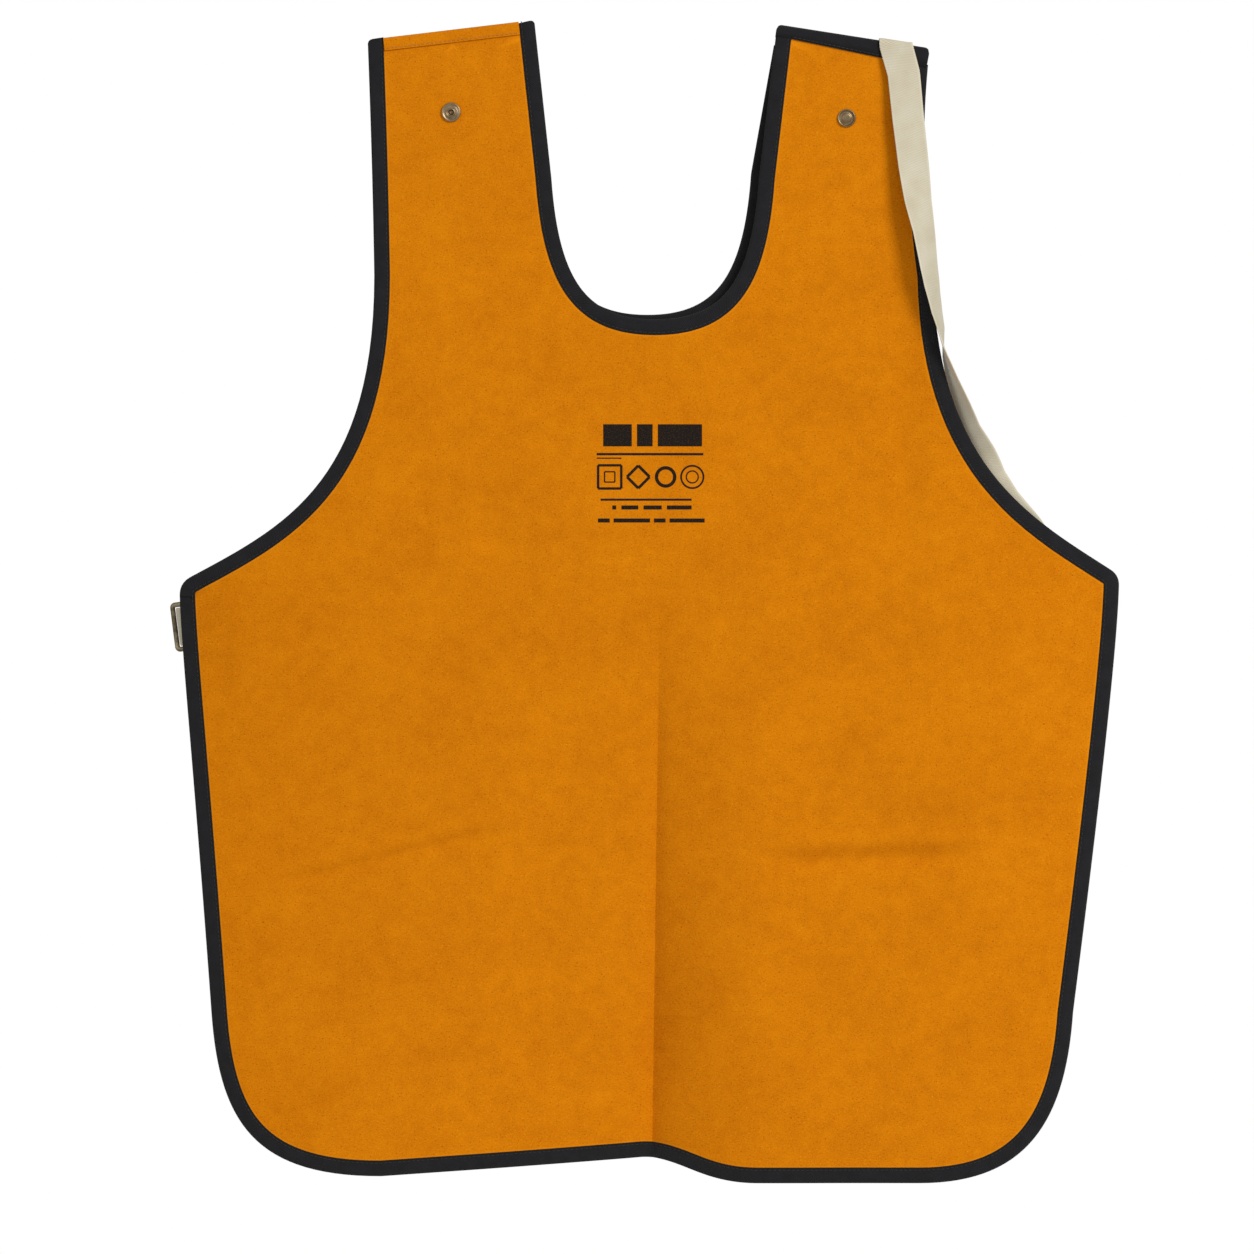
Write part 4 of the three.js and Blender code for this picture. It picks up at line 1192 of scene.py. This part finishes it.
armhole = armhole_line(RIGHT)
belt_stations = [
    (crossing[0], TAIL_Y - 0.1, crest - 4.0, flat),
    (crossing[0], TAIL_Y - 0.5, crest - 1.6, flat),
    (crossing[0], YOKE_Y + 1.2, crest - 0.4, flat),
    (crossing[0], YOKE_Y - 2, crest, flat),
    (crossing[0], -1, crest, flat),
    (crossing[0], BELT_FRONT_Y + 0.3, crest - 1, flat),
    (crossing[0] + 0.2, BELT_FRONT_Y, crest - 3.5, flat),
    (crossing[0] + 6.1, BELT_FRONT_Y - 1.35, crest - 25.4, turn_by(8)),
    (crossing[0] + 9.5, BELT_FRONT_Y - 3.1, crest - 60.4, turn_by(14)),
    (edge[0] - 13.9, BELT_FRONT_Y - 3.6, edge[1] + 83, turn_by(20)),
    (edge[0] - 10.8, BELT_FRONT_Y - 4.6, edge[1] + 58, turn_by(32)),
    (edge[0] - 6.2, BELT_FRONT_Y - 4.9, edge[1] + 34, turn_by(46)),
    (edge[0] - 2.7, BELT_FRONT_Y - 5.3, edge[1] + 9, turn_by(55)),
    beside(-0.6, BELT_FRONT_Y - 4, 4, 59),
    beside(1.2, -5, 16, 65),
    beside(2.7, -2.6, 28, 69),
    beside(4.3, -1, 40, 75),
    beside(4.2, 0, 53, 86),
    beside(4.4, 1, 63, 97),
    beside(5.6, 2.5, 81, 110),
    beside(6.0, 3.5, 100, 124),
    beside(3.6, 4.5, 118, 140),
    beside(3.0, 5.5, 136, 158),
    tucked(0.31, 0.671),
    tucked(0.39, 0.751),
    tucked(0.5125, 0.84),
    behind(hip[0] - 30, hip[1] - 22),
    behind(hip[0] - 14, hip[1] - 46),
]
belt_centres, belt_widths = strap_route(belt_stations, RIB_PITCH / 4, 8)
belt = webbing("webbing_belt", belt_centres, belt_widths)

tail_top = crossing[1] - 4
tail_stations = [(crossing[0], TAIL_Y, crest - 4.6, flat)] + [
    (crossing[0] - 0.5 * i, TAIL_Y + 0.4 * math.sin(i), tail_top - BELT_TAIL_LENGTH * i / 8, flat)
    for i in range(1, 9)]
tail_centres, tail_widths = strap_route(tail_stations, RIB_PITCH / 4, 40)
tail = webbing("webbing_tail", tail_centres, tail_widths)


def boxed_cross(corner, along, over, length, width, out):
    """Stitch lines for a box with a cross in it. corner is its middle of one short side."""
    corner, along, over = (np.array(v, float) for v in (corner, along, over))
    a, b = corner - over * width / 2, corner + over * width / 2
    c, d = b + along * length, a + along * length
    runs = [(a, b), (b, c), (c, d), (d, a), (a, c), (b, d)]
    return [(spaced(np.array(run), 2.6), out) for run in runs]


hip_end = belt_centres[-1]
hip_along = belt_centres[-80] - belt_centres[-1]
hip_along = hip_along / np.linalg.norm(hip_along)
hip_over = belt_widths[-1] - belt_widths[-1].dot(hip_along) * hip_along
hip_over = hip_over / np.linalg.norm(hip_over)
hip_out = np.cross(hip_over, hip_along)
hip_out = hip_out * (1 if hip_out[1] > 0 else -1)
belt_box = boxed_cross(
    hip_end + 3 * hip_along + 0.78 * hip_out, hip_along, hip_over, 20, 19, hip_out)
belt_threads = stitches("threads_belt_hip", belt_box, PALE_THREAD, 2.2, 0.3)


# --- Buckle and its tab --------------------------------------------------------------------

SEAT = np.array([-359.1225, 26.4958, -464.7000])
SEAT_AXES = np.array([
    [0.96939, -0.20851, 0.12963], [0.21028, 0.97764, 0.0], [-0.12674, 0.02726, 0.99156]])
BUCKLE_STOUT = 3.9
TAB_WIDTH = 29.4


def seated(points):
    """From the buckle's own frame (x inward, y back, z along its bars) to the row frame."""
    return SEAT + np.asarray(points, float) @ SEAT_AXES


def round_bar(path, wide, thick, closed, sides=16):
    """Points and faces of a bar with a rounded section along a path in the buckle's plane."""
    path = np.asarray(path, float)
    d = (np.roll(path, -1, 0) - np.roll(path, 1, 0)) if closed else np.gradient(path, axis=0)
    d /= np.linalg.norm(d, axis=1)[:, None]
    side = np.stack([-d[:, 1], d[:, 0]], 1)
    t = np.linspace(0, 2 * math.pi, sides, endpoint=False)
    power = 0.75
    u = np.sign(np.cos(t)) * np.abs(np.cos(t)) ** power * wide / 2
    v = np.sign(np.sin(t)) * np.abs(np.sin(t)) ** power * thick / 2
    x = path[:, 0][:, None] + side[:, 0][:, None] * u
    z = path[:, 1][:, None] + side[:, 1][:, None] * u
    rings = np.stack([x, np.broadcast_to(v, x.shape), z], 2)
    points = rings.reshape(-1, 3)
    quads, _, _ = grid_faces(len(path), sides, True)
    faces = quads.tolist()
    last = (len(path) - 1) * sides
    if closed:
        faces += [[last + j, j, (j + 1) % sides, last + (j + 1) % sides] for j in range(sides)]
    else:
        faces += [list(range(sides)), [last + j for j in range(sides)][::-1]]
    if volume_of(points, faces) < 0:
        faces = [f[::-1] for f in faces]
    return points, faces


def rounded_loop(width, height, radius, steps=10):
    points = []
    for cx, cz, start in ((1, 1, 0), (-1, 1, 90), (-1, -1, 180), (1, -1, 270)):
        for a in np.radians(np.linspace(start, start + 90, steps)):
            points.append((cx * (width / 2 - radius) + radius * math.cos(a),
                           cz * (height / 2 - radius) + radius * math.sin(a)))
    return spaced(np.array(points + points[:1]), 0.8)[:-1]


def slide_buckle():
    """The ring and its middle bar, fused into one cast-looking skin by a fine voxel remesh."""
    ring = rounded_loop(BUCKLE_WIDTH - BUCKLE_STOUT, BUCKLE_LENGTH - BUCKLE_STOUT, 2.0)
    bar = spaced(np.array([(0, 1.5 - BUCKLE_LENGTH / 2), (0, BUCKLE_LENGTH / 2 - 1.5)]), 0.8)
    points, faces = round_bar(ring, BUCKLE_STOUT, BUCKLE_THICKNESS + 0.6, True)
    more, more_faces = round_bar(bar, BUCKLE_BAR - 0.1, BUCKLE_THICKNESS - 0.1, False)
    faces = faces + [[v + len(points) for v in f] for f in more_faces]
    rough = make_piece("buckle_rough", seated(np.vstack([points, more])), faces, [BUCKLE_BRASS])
    fuse = rough.modifiers.new("fuse", "REMESH")
    fuse.mode, fuse.voxel_size, fuse.use_smooth_shade = "VOXEL", 0.00022, True
    soften = rough.modifiers.new("soften", "SMOOTH")
    soften.iterations, soften.factor = 3, 0.5
    evaluated = rough.evaluated_get(bpy.context.evaluated_depsgraph_get())
    fused = bpy.data.meshes.new_from_object(evaluated)
    bpy.data.objects.remove(rough)
    fused.name = "buckle_slide"
    fused.materials.clear()
    fused.materials.append(BUCKLE_BRASS)
    made = bpy.data.objects.new("buckle_slide", fused)
    bpy.context.scene.collection.objects.link(made)
    return made


buckle = slide_buckle()

RETURN_Y = -BUCKLE_THICKNESS / 2 - GAP - WEBBING / 2
TAB_Y = RETURN_Y - WEBBING - GAP
slot_end = BUCKLE_WIDTH / 2 - BUCKLE_BAR
bend = math.hypot(BUCKLE_BAR, BUCKLE_THICKNESS) / 2 + GAP + WEBBING / 2
loop_angles = [-math.pi / 2 - k * math.pi / 6 for k in range(9)]
tab_path = [(48, TAB_Y), (17, TAB_Y), (slot_end - 1, TAB_Y), (1.7, TAB_Y + 0.5)]
tab_path += [((bend + (LOOP_SLACK if math.cos(a) < 0 else 0)) * math.cos(a), bend * math.sin(a))
             for a in loop_angles]
tab_path += [(slot_end - 2, RETURN_Y + 0.1), (slot_end + 1, RETURN_Y), (24, RETURN_Y)]
up_bar = SEAT_AXES[2]
tab_stations = [(*seated((x, y, 0)), up_bar) for x, y in tab_path]
tab_centres, tab_widths = strap_route(tab_stations, RIB_PITCH / 5, 2)
tab = webbing("webbing_tab", tab_centres, tab_widths, TAB_WIDTH)
tab_rows = [
    (spaced(seated([(x, RETURN_Y + 0.72, -10.5), (x, RETURN_Y + 0.72, 10.5)]), 2.6), SEAT_AXES[1])
    for x in (21.0, 23.0)]
tab_box = boxed_cross(
    seated((45, TAB_Y + 0.78, 0)), -SEAT_AXES[0], SEAT_AXES[2], 17, 19, SEAT_AXES[1])
tab_threads = stitches("threads_tab", tab_rows + tab_box, PALE_THREAD, 2.2, 0.3)


# --- Generic print on the chest ------------------------------------------------------------

def print_strip(points_2d, faces, shapes):
    start = sum(len(s) for s, _ in shapes)
    shapes.append((points_2d, [[v + start for v in f] for f in faces]))


def print_band(shapes, path, width, closed=False):
    """A printed line of even width along a path on the chest."""
    path = np.asarray(path, float)
    n = normals_of(path, closed)
    rows = np.stack([path + n * width / 2, path - n * width / 2], 1)
    count = len(path)
    faces = [[2 * k, 2 * k + 1, 2 * k + 3, 2 * k + 2] for k in range(count - 1)]
    if closed:
        faces.append([2 * count - 2, 2 * count - 1, 1, 0])
    print_strip(rows.reshape(-1, 2), faces, shapes)


def chest_print():
    """A generic label with no lettering: blocks, rules, plain outlines and rows of dashes."""
    shapes = []
    blocks = ((-36, -14, -318, 17), (-10, 2, -318, 17), (6, 40, -318, 17))
    rules = ((-41, 41, -332.5, 1.8), (-41, -22, -335.6, 0.9), (-38, 32, -367.5, 1.6))
    for x0, x1, z, width in blocks + rules:
        print_band(shapes, spaced(np.array([(x0, z), (x1, z)], float), 2.0), width)
    dashes = ((-373.5, (-29, -26, -22, -9, -5, 9, 13, 32)),
              (-383.5, (-40, -31, -28, 0, 3, 12, 15, 42)))
    for z, stops in dashes:
        for x0, x1 in zip(stops[::2], stops[1::2]):
            print_band(shapes, spaced(np.array([(x0, z), (x1, z)], float), 2.0), 3.1)
    for cx, cz, half, width in ((-31, -350, 9.0, 1.9), (-31, -350, 4.0, 1.0), (-9, -350, 6.2, 2.2)):
        tilt = 0 if cx < -20 else math.pi / 4
        turn = np.array([math.pi / 4 + tilt - k * math.pi / 2 for k in range(5)])
        corners = np.stack([cx + half * 1.4 * np.cos(turn), cz + half * 1.4 * np.sin(turn)], 1)
        for first, second in zip(corners, corners[1:]):
            print_band(shapes, spaced(np.array([first, second]), 2.0), width)
    turn = np.linspace(0, -2 * math.pi, 48, endpoint=False)
    for cx, radius, width in ((12, 7.0, 2.6), (32.5, 8.6, 1.4), (32.5, 4.6, 1.0)):
        ring = np.stack([cx + radius * np.cos(turn), -350 + radius * np.sin(turn)], 1)
        print_band(shapes, ring, width, True)
    flat_points = np.vstack([s for s, _ in shapes])
    faces = [f for _, fs in shapes for f in fs]
    x, z = flat_points[:, 0], flat_points[:, 1]
    top = np.stack([x, lie(x, z) - LEATHER / 2 - 0.10, z], 1)
    low = np.stack([x, lie(x, z) - LEATHER / 2 - 0.02, z], 1)
    count = len(x)
    directed = {(f[k], f[(k + 1) % 4]) for f in faces for k in range(4)}
    rim = [(p, q) for p, q in directed if (q, p) not in directed]
    every = faces + [[v + count for v in f][::-1] for f in faces]
    every += [[q, p, p + count, q + count] for p, q in sorted(rim)]
    points = np.vstack([top, low])
    if volume_of(points, every) < 0:
        every = [f[::-1] for f in every]
    corners = np.array([v % count for f in every for v in f])
    return make_piece("print_marks", points, every, [INK], flat_points[corners])


marks = chest_print()

# --- Floor ---------------------------------------------------------------------------------

turn = np.linspace(0, 2 * math.pi, 96, endpoint=False)
floor_points = [(1100 * math.cos(a), 1100 * math.sin(a), -1060) for a in turn]
floor = make_piece("floor", np.array(floor_points), [list(range(96))], [plain_floor()])

# --- What the rigid pieces ride on, and what each piece replaces ---------------------------

for piece, body, slot, nodes in (
    (front, "front", "leather", ["front_panel"]),
    (neck_tape, "front", "binding_tape", ["neck_binding"]),
    (left_tape, "front", "binding_tape", ["left_armhole_binding"]),
    (skirt_tape, "front", "binding_tape", ["skirt_binding"]),
    (front_threads, "front", "binding_tape", []),
    (snap_socket, "front", "antique_brass", ["left_snap_socket"]),
    (left_rivet, "front", "antique_brass", ["left_snap_post"]),
    (snap_stud, "front", "antique_brass", ["right_snap_stud"]),
    (right_rivet, "front", "antique_brass", ["right_snap_post"]),
    (left_seam_threads, "front", None, []),
    (right_seam_threads, "front", "binding_tape", []),
    (belt_threads, "front", None, []),
    (tab_threads, "front", None, []),
    (marks, "front", None, []),
    (yoke, "yoke", "leather", ["back_yoke"]),
    (yoke_neck_tape, "yoke", "binding_tape", ["yoke_neck_binding"]),
    (yoke_edge_tape, "yoke", "binding_tape", ["yoke_outer_binding"]),
    (yoke_threads, "yoke", "binding_tape", []),
    (yoke_top_threads, "yoke", None, []),
    (buckle, "buckle", "antique_brass", ["buckle_frame"]),
):
    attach(piece, body)
    if nodes:
        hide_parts(*nodes)


for piece, pair, start, end, slot, nodes in (
    (left_seam, ("front", "yoke"), (0, 0, 0), (0, 8, 0), "leather", ["left_shoulder_fold"]),
    (right_seam, ("front", "yoke"), (0, 0, 0), (0, 8, 0), "binding_tape", ["right_shoulder_tape"]),
    (belt, ("front", "yoke"), (0, 0, -15.7), (0, 9, -14.7), "webbing", ["waist_belt"]),
    (tail, ("yoke", "tail"), (0, 13, -19), (0, 13, -34), "webbing", ["belt_tail"]),
    (tab, ("front", "tab"), seated((22, -3, 0)), seated((12, -3, 0)), "webbing",
     ["hip_tab", "hip_tab_anchor"]),
):
    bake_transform(piece)
    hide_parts(*nodes)

bpy.context.view_layer.update()
